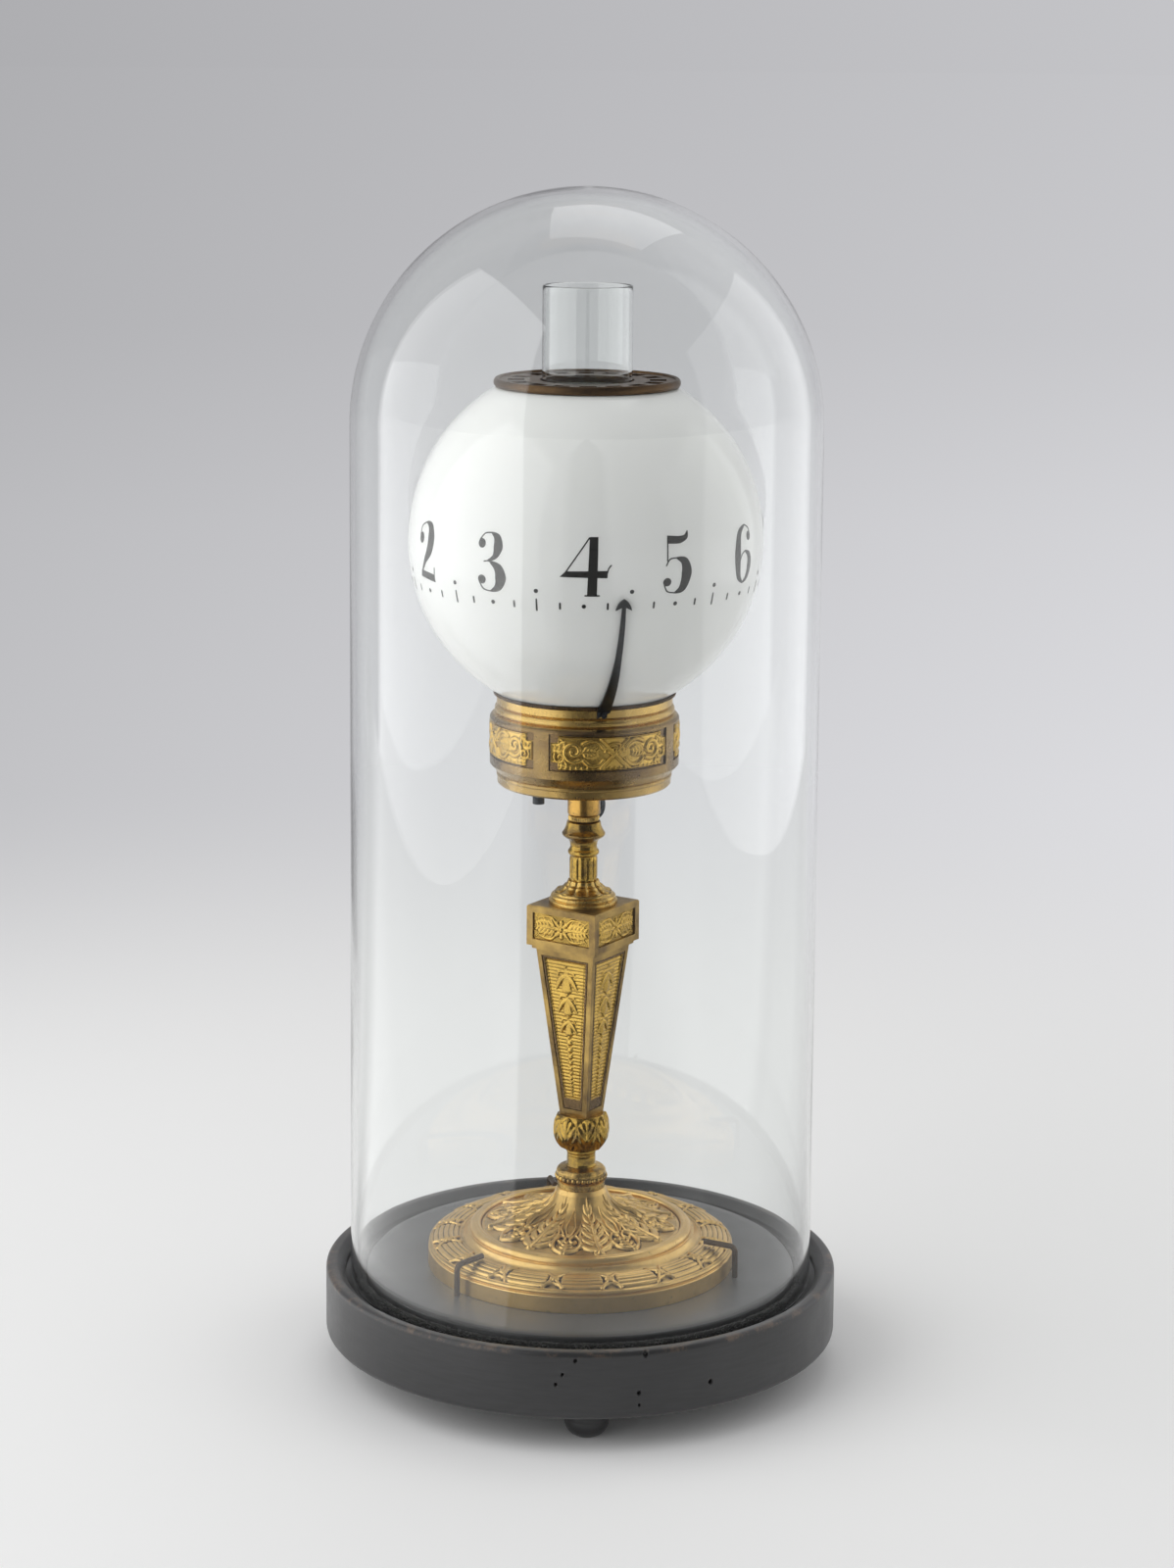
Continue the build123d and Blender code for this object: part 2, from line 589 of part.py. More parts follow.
def winding_key():
    """Two-winged key on the square of the winding arbor, hanging below the drum."""
    top = DRUM_Z - 2.0
    socket = rod(2.4, top - 8.5, top) - slab(KEY_SQUARE, KEY_SQUARE, top - 4.5, top + 1)
    centre = Pos(0, 0, BASE_TOP + top - 12.6) * Rot(90, 0, 0)
    wings = centre * (Pos(-4.3, 0, 0) * Cylinder(4.6, 1.3) + Pos(4.3, 0, 0) * Cylinder(4.6, 1.3))
    wings -= centre * (Pos(-4.6, 0, 0) * Cylinder(1.9, 3) + Pos(4.6, 0, 0) * Cylinder(1.9, 3))
    shank = slab(3.4, 1.3, top - 14.6, top - 8.0)
    return Pos(*BARREL_AT, 0) * Rot(0, 0, KEY_ANGLE) * (socket + wings + shank)


def hour_arbor():
    """One turn an hour: driven by the great wheel, it drives the third pinion and the globe ring."""
    low = LOWER_PLATE_Z + PLATE_THICK
    great_low = low + 0.2
    turn = bearing(HOUR_AT, BARREL_AT) + 180 / LEAVES
    leaves = Rot(0, 0, turn) * pinion(GREAT_MODULE, great_low, great_low + 1.6)
    third = bearing(HOUR_AT, THIRD_AT)
    centre = Rot(0, 0, third) * wheel(CENTRE_MODULE, CENTRE_TEETH, UPPER_PLATE_Z - 1.9)
    crown = pinion(CARRIER_MODULE, CROWN_Z - 0.3, CROWN_Z + 2.3)
    body = leaves + centre + Rot(0, 0, HOUR_ANGLE + 180 + 180 / LEAVES) * crown
    body += rod(1.1, great_low + 0.4, CROWN_Z) + rod(PIVOT_RADIUS, LOWER_PLATE_Z + 0.1, great_low + 0.5)
    return Pos(*HOUR_AT, 0) * body


def third_wheel():
    low = LOWER_PLATE_Z + PLATE_THICK
    leaves = Rot(0, 0, bearing(THIRD_AT, HOUR_AT) + 180 / LEAVES)
    leaves = leaves * pinion(CENTRE_MODULE, UPPER_PLATE_Z - 2.4, UPPER_PLATE_Z - 0.5)
    body = leaves + wheel(THIRD_MODULE, THIRD_TEETH, low + 2.6)
    body += staff(0.9)
    return Pos(*THIRD_AT, 0) * body


def fourth_wheel():
    low = LOWER_PLATE_Z + PLATE_THICK
    mesh = bearing(FOURTH_AT, ESCAPE_AT)
    body = pinion(THIRD_MODULE, low + 2.3, low + 4.0)
    body += Rot(0, 0, mesh) * wheel(FOURTH_MODULE, FOURTH_TEETH, low + 5.4, 0.9)
    body += staff(0.9)
    return Pos(*FOURTH_AT, 0) * body


def escape_wheel():
    """Fifteen-toothed escape wheel with its pinion."""
    low = LOWER_PLATE_Z + PLATE_THICK
    teeth = 15
    points = []
    for tooth in range(teeth):
        start = 2 * math.pi * tooth / teeth
        points.append((3.9 * math.cos(start), 3.9 * math.sin(start)))
        points.append((2.9 * math.cos(start + 0.1), 2.9 * math.sin(start + 0.1)))
        points.append((2.9 * math.cos(start + 0.3), 2.9 * math.sin(start + 0.3)))
    saw = Pos(0, 0, BASE_TOP + low + 2.2) * extrude(make_face(Polyline(points, close=True)), 0.6)
    turn = bearing(ESCAPE_AT, FOURTH_AT) + 180 / LEAVES
    body = saw + Rot(0, 0, turn) * pinion(FOURTH_MODULE, low + 5.0, low + 6.7)
    body += staff(0.8)
    return Pos(*ESCAPE_AT, 0) * body


def pallet_lever():
    """Lever with two pallets at the escape wheel and a fork towards the balance."""
    low = LOWER_PLATE_Z + PLATE_THICK
    level = BASE_TOP + low + 2.2
    fork = Polyline(
        (-0.6, -0.9), (2.4, -0.4), (3.3, -0.7), (3.3, -0.3), (2.7, 0.0),
        (3.3, 0.3), (3.3, 0.7), (2.4, 0.4), (-0.6, 0.9), close=True)
    pallets = Polyline(
        (1.2, -0.5), (2.2, -2.5), (1.6, -2.7), (0, -0.9),
        (0, 0.9), (1.6, 2.7), (2.2, 2.5), (1.2, 0.5), close=True)
    body = Rot(0, 0, bearing(LEVER_AT, BALANCE_AT)) * Pos(0, 0, level) * extrude(make_face(fork), 0.8)
    body += Rot(0, 0, bearing(LEVER_AT, ESCAPE_AT)) * Pos(0, 0, level) * extrude(make_face(pallets), 0.8)
    body += staff(0.75)
    return Pos(*LEVER_AT, 0) * body


def balance_wheel():
    """Balance: a rim on two arms, its staff and the small roller that meets the lever."""
    low = LOWER_PLATE_Z + PLATE_THICK
    rim_low = low + 6.6
    body = rod(6.0, rim_low, rim_low + 1.2) - rod(5.0, rim_low - 1, rim_low + 3)
    body += slab(10.6, 1.2, rim_low + 0.2, rim_low + 1.0)
    body += staff(0.8)
    body += rod(1.9, low + 3.4, low + 4.0)
    return Pos(*BALANCE_AT, 0) * body


def setting_knob():
    """Small steel knob under the drum, on a thin stem through the floor."""
    stem = rod(1.2, DRUM_Z - 4.5, FLOOR_TOP_Z + 0.8)
    head = rod(2.3, DRUM_Z - 7.6, DRUM_Z - 3.0)
    collar = rod(1.9, FLOOR_TOP_Z + 0.3, FLOOR_TOP_Z + 1.3)
    return Pos(*SETTING_AT, 0) * (stem + head + collar)


# Lamp on top of the movement.

def oil_font():
    """Closed brass oil tank with a threaded collar for the burner."""
    top = FONT_TOP_Z
    return turned(
        (0, FONT_Z), (FONT_RADIUS - 0.6, FONT_Z), (FONT_RADIUS, FONT_Z + 0.6), (FONT_RADIUS, top - 2.4),
        (FONT_RADIUS - 0.6, top - 0.6, FONT_RADIUS - 3.2, top), (10.4, top + 0.9), (9.4, top + 1.2),
        (9.4, BURNER_Z), (8.2, BURNER_Z), (8.2, top), (FONT_RADIUS - 3.4, top - 1.0),
        (FONT_RADIUS - 1.1, top - 2.6), (FONT_RADIUS - 1.1, FONT_Z + 1.1), (0, FONT_Z + 1.1))


def burner():
    """Flat-wick burner screwed into the collar, with the tube for the wick."""
    body = turned(
        (0, BURNER_Z - 4), (8.1, BURNER_Z - 4), (8.1, BURNER_Z), (10.6, BURNER_Z), (10.6, BURNER_Z + 1.4),
        (12.4, BURNER_Z + 4.0, 12.8, GALLERY_Z), (0, GALLERY_Z))
    body += slab(11.2, 3.6, GALLERY_Z - 1, WICK_TOP_Z - 1.5)
    body -= slab(9.6, 2.0, BURNER_Z - 5, WICK_TOP_Z)
    stem_hole = Pos(5, SPINDLE_Y, BASE_TOP + SPINDLE_Z) * Rot(0, 90, 0) * Cylinder(0.95, 20)
    wheel_room = Pos(0, SPINDLE_Y - 0.2, BASE_TOP + SPINDLE_Z) * Box(4.4, 4.4, 4.6)
    return body - stem_hole - wheel_room


def gallery():
    """Pierced ring that holds the foot of the chimney between spring tongues."""
    ring = turned(
        (12.0, GALLERY_Z), (15.0, GALLERY_Z), (18.2, GALLERY_Z + 1.4), (18.2, GALLERY_Z + 8.0),
        (17.5, GALLERY_Z + 8.0), (17.5, GALLERY_Z + 2.0), (15.4, GALLERY_Z + 1.0), (12.0, GALLERY_Z + 1.0))
    for step in range(8):
        gap = Rot(0, 0, 45 * step) * Pos(18, 0, BASE_TOP + GALLERY_Z + 6.0) * Box(4, 2.4, 5.0)
        ring -= gap
    return ring


def wick():
    """Flat woven wick in its tube."""
    return slab(9.2, 1.6, FONT_Z + 5.0, WICK_TOP_Z)


def wick_spindle():
    """Cross spindle with a small wheel against the wick and a thumb wheel outside."""
    stem = Pos(5.65, 0, 0) * Rot(0, 90, 0) * Cylinder(0.9, 15.7)
    feed = Rot(0, 90, 0) * Cylinder(1.6, 3.0)
    knob = Pos(14.7, 0, 0) * Rot(0, 90, 0) * Cylinder(2.6, 2.6)
    return Pos(0, SPINDLE_Y, BASE_TOP + SPINDLE_Z) * (stem + feed + knob)


def chimney():
    """Plain glass tube standing in the gallery."""
    low = GALLERY_Z + 2.1
    inner = CHIMNEY_RADIUS - CHIMNEY_WALL
    return turned(
        (inner, low), (CHIMNEY_RADIUS, low), (CHIMNEY_RADIUS, CHIMNEY_TOP_Z - 0.4),
        (CHIMNEY_RADIUS - CHIMNEY_WALL / 2, CHIMNEY_TOP_Z, inner, CHIMNEY_TOP_Z - 0.4))


# Globe, its turning ring and the vent cap.

def globe_carrier():
    """Turning ring: a fine-toothed lip outside, a skirt that runs in the drum and the driven wheel below."""
    web_low = DRUM_TOP_Z
    web_top = GLOBE_BOTTOM_Z
    bore = 20.2
    skirt = DRUM_BORE - PIVOT_GAP
    skirt_low = DRUM_TOP_Z - 2.4
    ring = turned(
        (bore, CROWN_Z), (20.9, CROWN_Z), (20.9, web_low), (31.0, web_low), (31.0, skirt_low),
        (skirt, skirt_low), (skirt, web_low), (CARRIER_LIP - 0.5, web_low), (CARRIER_LIP, web_low + 0.3),
        (CARRIER_LIP, web_top), (29.6, web_top), (29.6, web_top + 1.2), (28.6, web_top + 1.2),
        (28.6, web_top), (bore, web_top))
    teeth = wheel(CARRIER_MODULE, CARRIER_TEETH, CROWN_Z, 2.0) - rod(bore, CROWN_Z - 2, web_top)
    return ring + Rot(0, 0, HOUR_ANGLE) * teeth


def globe_glass():
    """Opal glass globe, open at the bottom and the top."""
    outer = GLOBE_RADIUS
    inner = outer - GLOBE_WALL
    centre = GLOBE_CENTRE_Z

    def at(radius, height):
        return math.sqrt(radius ** 2 - (height - centre) ** 2), height

    def inside(bore, side):
        return bore, centre + side * math.sqrt(inner ** 2 - bore ** 2)

    return turned(
        (GLOBE_LOW_BORE, GLOBE_BOTTOM_Z), at(outer, GLOBE_BOTTOM_Z), (outer, centre) + at(outer, GLOBE_TOP_Z),
        (GLOBE_TOP_BORE, GLOBE_TOP_Z), inside(GLOBE_TOP_BORE, 1), (inner, centre) + inside(GLOBE_LOW_BORE, -1))


def vent_cap():
    """Flat cap with a ring of long holes and a round hole for the chimney."""
    low = VENT_Z
    spigot = GLOBE_TOP_Z - 1.6
    cap = turned(
        (VENT_HOLE, low + 1.0), (VENT_HOLE, low + 2.2), (33.6, low + 2.2), (34.2, low + 3.0, 35.0, low + 2.8),
        (VENT_RADIUS, low + 1.4, 35.0, low - 0.2), (34.4, GLOBE_TOP_Z), (32.2, GLOBE_TOP_Z), (32.2, spigot),
        (31.4, spigot), (31.4, low + 1.0))
    step = 360 / VENT_SLOTS
    for slot in range(VENT_SLOTS):
        hole = Pos(27.0, 0, BASE_TOP + VENT_Z + 1.6) * Box(6.4, 6.4, 4)
        cap -= Rot(0, 0, step * (slot + 0.5)) * hole
    return cap


NODES = {
    "wood_base": wood_base,
    "bun_feet": bun_feet,
    "glass_dome": glass_dome,
    "dome_cord": dome_cord,
    "brass_foot": brass_foot,
    "foot_clips": foot_clips,
    "foot_cone": foot_cone,
    "beaded_collar": beaded_collar,
    "lower_neck": lower_neck,
    "leaf_ball": leaf_ball,
    "column_shaft": column_shaft,
    "column_cap": column_cap,
    "neck_ring": neck_ring,
    "reeded_neck": reeded_neck,
    "knop": knop,
    "knurled_nut": knurled_nut,
    "upper_tube": upper_tube,
    "tie_rod": tie_rod,
    "rod_nut": rod_nut,
    "drum_floor": drum_floor,
    "drum_case": drum_case,
    "pointer": pointer,
    "pointer_screw": pointer_screw,
    "lower_plate": lower_plate,
    "upper_plate": upper_plate,
    "movement_pillars": movement_pillars,
    "barrel": barrel,
    "mainspring": mainspring,
    "barrel_arbor": barrel_arbor,
    "ratchet_wheel": ratchet_wheel,
    "click": click,
    "click_stud": click_stud,
    "winding_key": winding_key,
    "hour_arbor": hour_arbor,
    "third_wheel": third_wheel,
    "fourth_wheel": fourth_wheel,
    "escape_wheel": escape_wheel,
    "pallet_lever": pallet_lever,
    "balance_wheel": balance_wheel,
    "setting_knob": setting_knob,
    "oil_font": oil_font,
    "burner": burner,
    "gallery": gallery,
    "wick": wick,
    "wick_spindle": wick_spindle,
    "chimney": chimney,
    "globe_carrier": globe_carrier,
    "globe_glass": globe_glass,
    "vent_cap": vent_cap,
}


def main():
    os.makedirs("parts", exist_ok=True)
    for name, make in NODES.items():
        export_step(make(), f"parts/{name}.step")
    places = {"hour": HOUR_AT, "barrel": BARREL_AT, "third": THIRD_AT, "fourth": FOURTH_AT, "escape": ESCAPE_AT,
              "lever": LEVER_AT, "balance": BALANCE_AT, "setting": SETTING_AT}
    for name, (x, y) in places.items():
        print(f"{name} arbor at x {x:.4f} y {y:.4f}")


main()
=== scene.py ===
import json
import math

import bmesh
import bpy
import numpy as np
from bpy.props import FloatProperty, FloatVectorProperty, IntProperty, PointerProperty
from mathutils import Matrix, Vector

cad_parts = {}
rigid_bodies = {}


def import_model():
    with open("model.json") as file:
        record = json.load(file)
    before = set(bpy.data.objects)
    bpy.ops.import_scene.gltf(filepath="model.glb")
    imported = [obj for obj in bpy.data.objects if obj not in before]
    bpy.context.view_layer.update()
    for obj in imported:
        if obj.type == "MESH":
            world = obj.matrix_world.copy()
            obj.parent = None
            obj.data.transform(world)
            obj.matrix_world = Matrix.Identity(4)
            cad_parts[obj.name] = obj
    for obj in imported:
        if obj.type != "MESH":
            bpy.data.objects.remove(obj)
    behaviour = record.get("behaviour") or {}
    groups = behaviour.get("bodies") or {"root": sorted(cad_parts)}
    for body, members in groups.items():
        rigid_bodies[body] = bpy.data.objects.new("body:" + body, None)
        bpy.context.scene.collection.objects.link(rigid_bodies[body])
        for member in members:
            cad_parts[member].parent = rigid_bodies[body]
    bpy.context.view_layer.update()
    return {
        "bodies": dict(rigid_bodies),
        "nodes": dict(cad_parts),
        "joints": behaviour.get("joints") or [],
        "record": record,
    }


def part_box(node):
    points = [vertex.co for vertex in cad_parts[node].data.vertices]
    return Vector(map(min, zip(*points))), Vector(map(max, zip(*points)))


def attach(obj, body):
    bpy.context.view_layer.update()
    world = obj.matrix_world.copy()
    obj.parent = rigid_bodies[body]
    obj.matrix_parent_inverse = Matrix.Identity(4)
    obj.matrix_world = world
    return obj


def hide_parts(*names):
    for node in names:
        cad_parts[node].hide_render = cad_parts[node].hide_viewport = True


bl_info = {
    "name": "Oil Lamp Clock",
    "version": (1, 0, 0),
    "blender": (4, 5, 0),
    "location": "View3D > Sidebar > Lamp Clock",
    "description": "Dresses the lamp clock: ornament, glass, dial, finishes and the studio",
    "category": "Add Mesh",
}

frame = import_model()

MM = 0.001
BASE_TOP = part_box("wood_base")[1].z / MM
ALL_ROUND = 2 * math.pi


# Outlines and turned forms. Lengths are in millimetres, heights are above the top of the wood base.

def level(node, top=True):
    """Height of a CAD node's top or bottom above the wood base, in millimetres."""
    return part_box(node)[1 if top else 0].z / MM - BASE_TOP


def arc_points(start, middle, end, step):
    (ax, ay), (bx, by), (cx, cy) = start, middle, end
    d = 2 * (ax * (by - cy) + bx * (cy - ay) + cx * (ay - by))
    if abs(d) < 1e-9:
        return [end]
    a2, b2, c2 = ax * ax + ay * ay, bx * bx + by * by, cx * cx + cy * cy
    ux = (a2 * (by - cy) + b2 * (cy - ay) + c2 * (ay - by)) / d
    uy = (a2 * (cx - bx) + b2 * (ax - cx) + c2 * (bx - ax)) / d
    radius = math.hypot(ax - ux, ay - uy)
    first = math.atan2(ay - uy, ax - ux)
    mid = (math.atan2(by - uy, bx - ux) - first) % ALL_ROUND
    last = (math.atan2(cy - uy, cx - ux) - first) % ALL_ROUND
    turn = last if mid < last else last - ALL_ROUND
    count = max(4, int(abs(turn) * radius / step))
    return [(ux + radius * math.cos(first + turn * i / count), uy + radius * math.sin(first + turn * i / count))
            for i in range(1, count + 1)]


def sample(profile, step, ease=0.12):
    """Points along an outline of lines and arcs. A corner becomes a narrow bevel of width ease."""
    runs, here = [], profile[0]
    for move in profile[1:]:
        if len(move) == 2:
            length = math.dist(here, move)
            count = max(1, int(length / step))
            run = [(here[0] + (move[0] - here[0]) * i / count, here[1] + (move[1] - here[1]) * i / count)
                   for i in range(count + 1)]
        else:
            run = [here] + arc_points(here, move[:2], move[2:], step)
        runs.append(run)
        here = move[-2:]
    points = [profile[0]]
    for index, run in enumerate(runs):
        points += run[1:-1]
        end, before = run[-1], run[-2]
        if index == len(runs) - 1:
            points.append(end)
            continue
        after = runs[index + 1][1]
        for other in (before, after):
            share = min(0.4, ease / max(math.dist(end, other), 1e-6))
            points.append((end[0] + (other[0] - end[0]) * share, end[1] + (other[1] - end[1]) * share))
    return points


def make_object(name, verts, faces, hollow=None, brown=None, smooth=True):
    """A mesh object. hollow and brown, from 0 to 1 at each point: hollow says where painted shade darkens the recesses,
    with tarnish on brass, and brown says where the finish is dull.
    """
    mesh = bpy.data.meshes.new(name)
    mesh.from_pydata(verts, [], faces)
    for key, values in (("hollow", hollow), ("brown", brown)):
        if values is not None:
            layer = mesh.attributes.new(key, "FLOAT", "POINT")
            layer.data.foreach_set("value", np.asarray(values, np.float32))
    if smooth:
        mesh.polygons.foreach_set("use_smooth", [True] * len(mesh.polygons))
    mesh.update()
    obj = bpy.data.objects.new(name, mesh)
    bpy.context.scene.collection.objects.link(obj)
    return obj


def tidy_mesh(obj, reach=2e-6):
    """Joins doubled points and turns all faces outward."""
    bm = bmesh.new()
    bm.from_mesh(obj.data)
    bmesh.ops.remove_doubles(bm, verts=bm.verts, dist=reach)
    bmesh.ops.dissolve_degenerate(bm, edges=bm.edges, dist=reach / 4)
    bmesh.ops.recalc_face_normals(bm, faces=bm.faces)
    bm.to_mesh(obj.data)
    bm.free()
    return obj


def depth_of(field, reach):
    """How far each point lies below its surroundings, from 0 to 1."""
    blurred = field
    for axis in (0, 1):
        total = np.zeros_like(field)
        for shift in range(-reach, reach + 1):
            total += np.roll(blurred, shift, axis)
        blurred = total / (2 * reach + 1)
    span = max(float(field.max() - field.min()), 1e-6)
    return np.clip((blurred - field) / span * 3.2, 0, 1)


def ground(field, share=0.22):
    """1 on the ground between raised ornament, 0 on the ornament."""
    top = max(float(field.max()), 1e-6)
    return np.clip(1 - (field - field.min()) / (share * (top - min(0.0, float(field.min())))), 0, 1)


def lathe(name, outer, inner=(), around=192, step=0.8, relief=None, phase=0.0, reach=4, shade_ground=0.0,
          extra_angles=()):
    """Turned piece from a closed outline. relief(angle, r, z, s) lifts the outer part along its normal."""
    points = np.array(sample(outer, step))
    ahead, behind = np.roll(points, -1, 0), np.roll(points, 1, 0)
    ahead[-1], behind[0] = points[-1], points[0]
    along = ahead - behind
    along /= np.maximum(np.linalg.norm(along, axis=1), 1e-9)[:, None]
    normal = np.stack([along[:, 1], -along[:, 0]], 1)
    travelled = np.concatenate([[0], np.cumsum(np.linalg.norm(np.diff(points, axis=0), axis=1))])
    angles = np.arange(around) / around * ALL_ROUND + phase
    if len(extra_angles):
        angles = np.unique(np.round(np.concatenate([angles, extra_angles]) % ALL_ROUND, 5))
        around = len(angles)
    angle = np.repeat(angles[:, None], len(points), 1)
    r = np.repeat(points[None, :, 0], around, 0)
    z = np.repeat(points[None, :, 1], around, 0)
    s = np.repeat(travelled[None, :], around, 0)
    hollow = np.zeros_like(r)
    if relief is not None:
        rise = relief(angle, r, z, s)
        # hollow is painted shade: points below their surroundings are drawn darker, and with shade_ground so is the
        # ground between the ornament
        hollow = depth_of(rise, reach)
        if shade_ground:
            hollow = np.maximum(hollow, shade_ground * ground(rise) * (np.abs(rise).max(0) > 0.02)[None, :])
        r = r + rise * normal[None, :, 0]
        z = z + rise * normal[None, :, 1]
    if len(inner):
        rest = np.array(sample([outer[-1][-2:]] + list(inner) + [outer[0]], max(step, 2.0)))[1:-1]
        r = np.concatenate([r, np.repeat(rest[None, :, 0], around, 0)], 1)
        z = np.concatenate([z, np.repeat(rest[None, :, 1], around, 0)], 1)
        hollow = np.concatenate([hollow, np.zeros((around, len(rest)))], 1)
    count = r.shape[1]
    turn = angles[:, None]
    verts = np.stack([r * np.cos(turn), r * np.sin(turn), z + BASE_TOP], 2).reshape(-1, 3) * MM
    closed = len(inner) > 0
    i, j = np.meshgrid(np.arange(around), np.arange(count if closed else count - 1), indexing="ij")
    i2, j2 = (i + 1) % around, (j + 1) % count
    faces = np.stack([i * count + j, i2 * count + j, i2 * count + j2, i * count + j2], 2).reshape(-1, 4)
    return tidy_mesh(make_object(name, verts.tolist(), faces.tolist(), hollow.reshape(-1)))


# Chased ornament: heights drawn on a field of points u, v.

def smooth_path(points, per=8):
    """A curve through the points, evenly drawn."""
    p = np.array([points[0]] + list(points) + [points[-1]], float)
    out = []
    for k in range(1, len(p) - 2):
        for t in np.arange(per) / per:
            out.append(0.5 * (2 * p[k] + (p[k + 1] - p[k - 1]) * t
                              + (2 * p[k - 1] - 5 * p[k] + 4 * p[k + 1] - p[k + 2]) * t ** 2
                              + (3 * p[k] - p[k - 1] - 3 * p[k + 1] + p[k + 2]) * t ** 3))
    out.append(p[-2])
    return np.array(out)


def stroke(field, u, v, points, width, rise, ends=(1.0, 1.0), per=6, swell=0.0):
    """Raises a rounded ridge along a path; ends give its width at the start and the end, as shares."""
    path = smooth_path(points, per) if len(points) > 2 else np.array(points, float)
    low, high = path.min(0) - width * 1.5, path.max(0) + width * 1.5
    near = (u > low[0]) & (u < high[0]) & (v > low[1]) & (v < high[1])
    if not near.any():
        return
    pu, pv = u[near], v[near]
    best = np.zeros(pu.shape)
    steps = len(path) - 1
    for k in range(steps):
        (ax, ay), (bx, by) = path[k], path[k + 1]
        dx, dy = bx - ax, by - ay
        t = np.clip(((pu - ax) * dx + (pv - ay) * dy) / max(dx * dx + dy * dy, 1e-9), 0, 1)
        far = np.hypot(pu - ax - dx * t, pv - ay - dy * t)
        share = (k + t) / steps
        w = width * (ends[0] + (ends[1] - ends[0]) * share + swell * np.sin(np.pi * share))
        best = np.maximum(best, rise * np.sqrt(np.clip(1 - (far / np.maximum(w, 1e-3)) ** 2, 0, 1))
                          * np.clip(w / width, 0.25, 1.1))
    field[near] = np.maximum(field[near], best)


def bead(field, u, v, centre, radius, rise):
    far = np.hypot(u - centre[0], v - centre[1]) / radius
    np.maximum(field, rise * np.sqrt(np.clip(1 - far ** 2, 0, 1)), out=field)


def both(field, u, v, points, width, rise, **more):
    """A stroke and its mirror image."""
    stroke(field, u, v, points, width, rise, **more)
    stroke(field, u, v, [(-x, y) for x, y in points], width, rise, **more)


def leaf(field, u, v, root, tip, width, rise, pairs=4, bend=0.0):
    """A toothed leaf: a blade of lobes either side of a midrib."""
    root, tip = np.array(root, float), np.array(tip, float)
    axis = tip - root
    length = np.hypot(*axis)
    axis /= length
    side = np.array([-axis[1], axis[0]])
    curve = [root + axis * length * t + side * bend * math.sin(math.pi * t) for t in np.linspace(0, 1, 6)]
    stroke(field, u, v, curve, width * 0.42, rise * 0.75, ends=(0.6, 0.15), swell=0.5)
    for k in range(pairs):
        t = 0.08 + 0.72 * k / max(pairs - 1, 1)
        start = root + axis * length * t + side * bend * math.sin(math.pi * t)
        grow = width * (0.55 + 0.45 * math.sin(math.pi * min(1, t + 0.25)))
        for hand in (-1, 1):
            out = start + (axis * 0.85 + side * hand * 0.9) * grow
            mid = start + (axis * 0.35 + side * hand * 0.62) * grow
            stroke(field, u, v, [start, mid, out], width * 0.27, rise * 0.85, ends=(0.7, 0.35), swell=0.35, per=4)
    stroke(field, u, v, curve, width * 0.11, rise * 1.15, ends=(1.0, 0.5))


def spiral(centre, radius, turns, start, hand=1, tail=0.15):
    """Points of a scroll that winds inwards."""
    steps = int(10 * turns) + 2
    out = []
    for k in range(steps):
        t = k / (steps - 1)
        reach = radius * (1 - (1 - tail) * t)
        angle = start + hand * turns * ALL_ROUND * t
        out.append((centre[0] + reach * math.cos(angle), centre[1] + reach * math.sin(angle)))
    return out


def floret(field, u, v, centre, radius, rise, petals=6):
    for k in range(petals):
        a = ALL_ROUND * k / petals
        tip = (centre[0] + radius * math.cos(a), centre[1] + radius * math.sin(a))
        stroke(field, u, v, [centre, tip], radius * 0.34, rise * 0.8, ends=(0.5, 1.0))
    bead(field, u, v, centre, radius * 0.36, rise * 1.25)


def contour_mesh(field, xs, ys):
    """Triangles of the region where the field is positive, with its outline set between the grid points."""
    verts, index, faces, rim = [], {}, [], []

    def corner(i, j):
        key = (i, j)
        if key not in index:
            index[key] = len(verts)
            verts.append((xs[i], ys[j]))
        return index[key]

    def crossing(a, b):
        key = (a, b) if a < b else (b, a)
        if key not in index:
            va, vb = field[a], field[b]
            t = min(0.98, max(0.02, va / (va - vb)))
            index[key] = len(verts)
            verts.append((xs[a[0]] + (xs[b[0]] - xs[a[0]]) * t, ys[a[1]] + (ys[b[1]] - ys[a[1]]) * t))
        return index[key]

    for i in range(len(xs) - 1):
        for j in range(len(ys) - 1):
            ring = [(i, j), (i + 1, j), (i + 1, j + 1), (i, j + 1)]
            inside = [field[c] > 0 for c in ring]
            if not any(inside):
                continue
            if all(inside):
                faces.append([corner(*c) for c in ring])
                continue
            for a, b, c in ((0, 1, 2), (0, 2, 3)):
                loop, cuts = [], []
                trio = [ring[a], ring[b], ring[c]]
                for k in range(3):
                    here, there = trio[k], trio[(k + 1) % 3]
                    if field[here] > 0:
                        loop.append(corner(*here))
                    if (field[here] > 0) != (field[there] > 0):
                        cut = crossing(here, there)
                        loop.append(cut)
                        cuts.append((len(loop) - 1, field[here] > 0))
                if len(loop) >= 3:
                    faces.append(loop)
                    if len(cuts) == 2:
                        leave = [n for n, out in cuts if out][0]
                        enter = [n for n, out in cuts if not out][0]
                        rim.append((loop[leave], loop[enter]))
    return verts, faces, rim


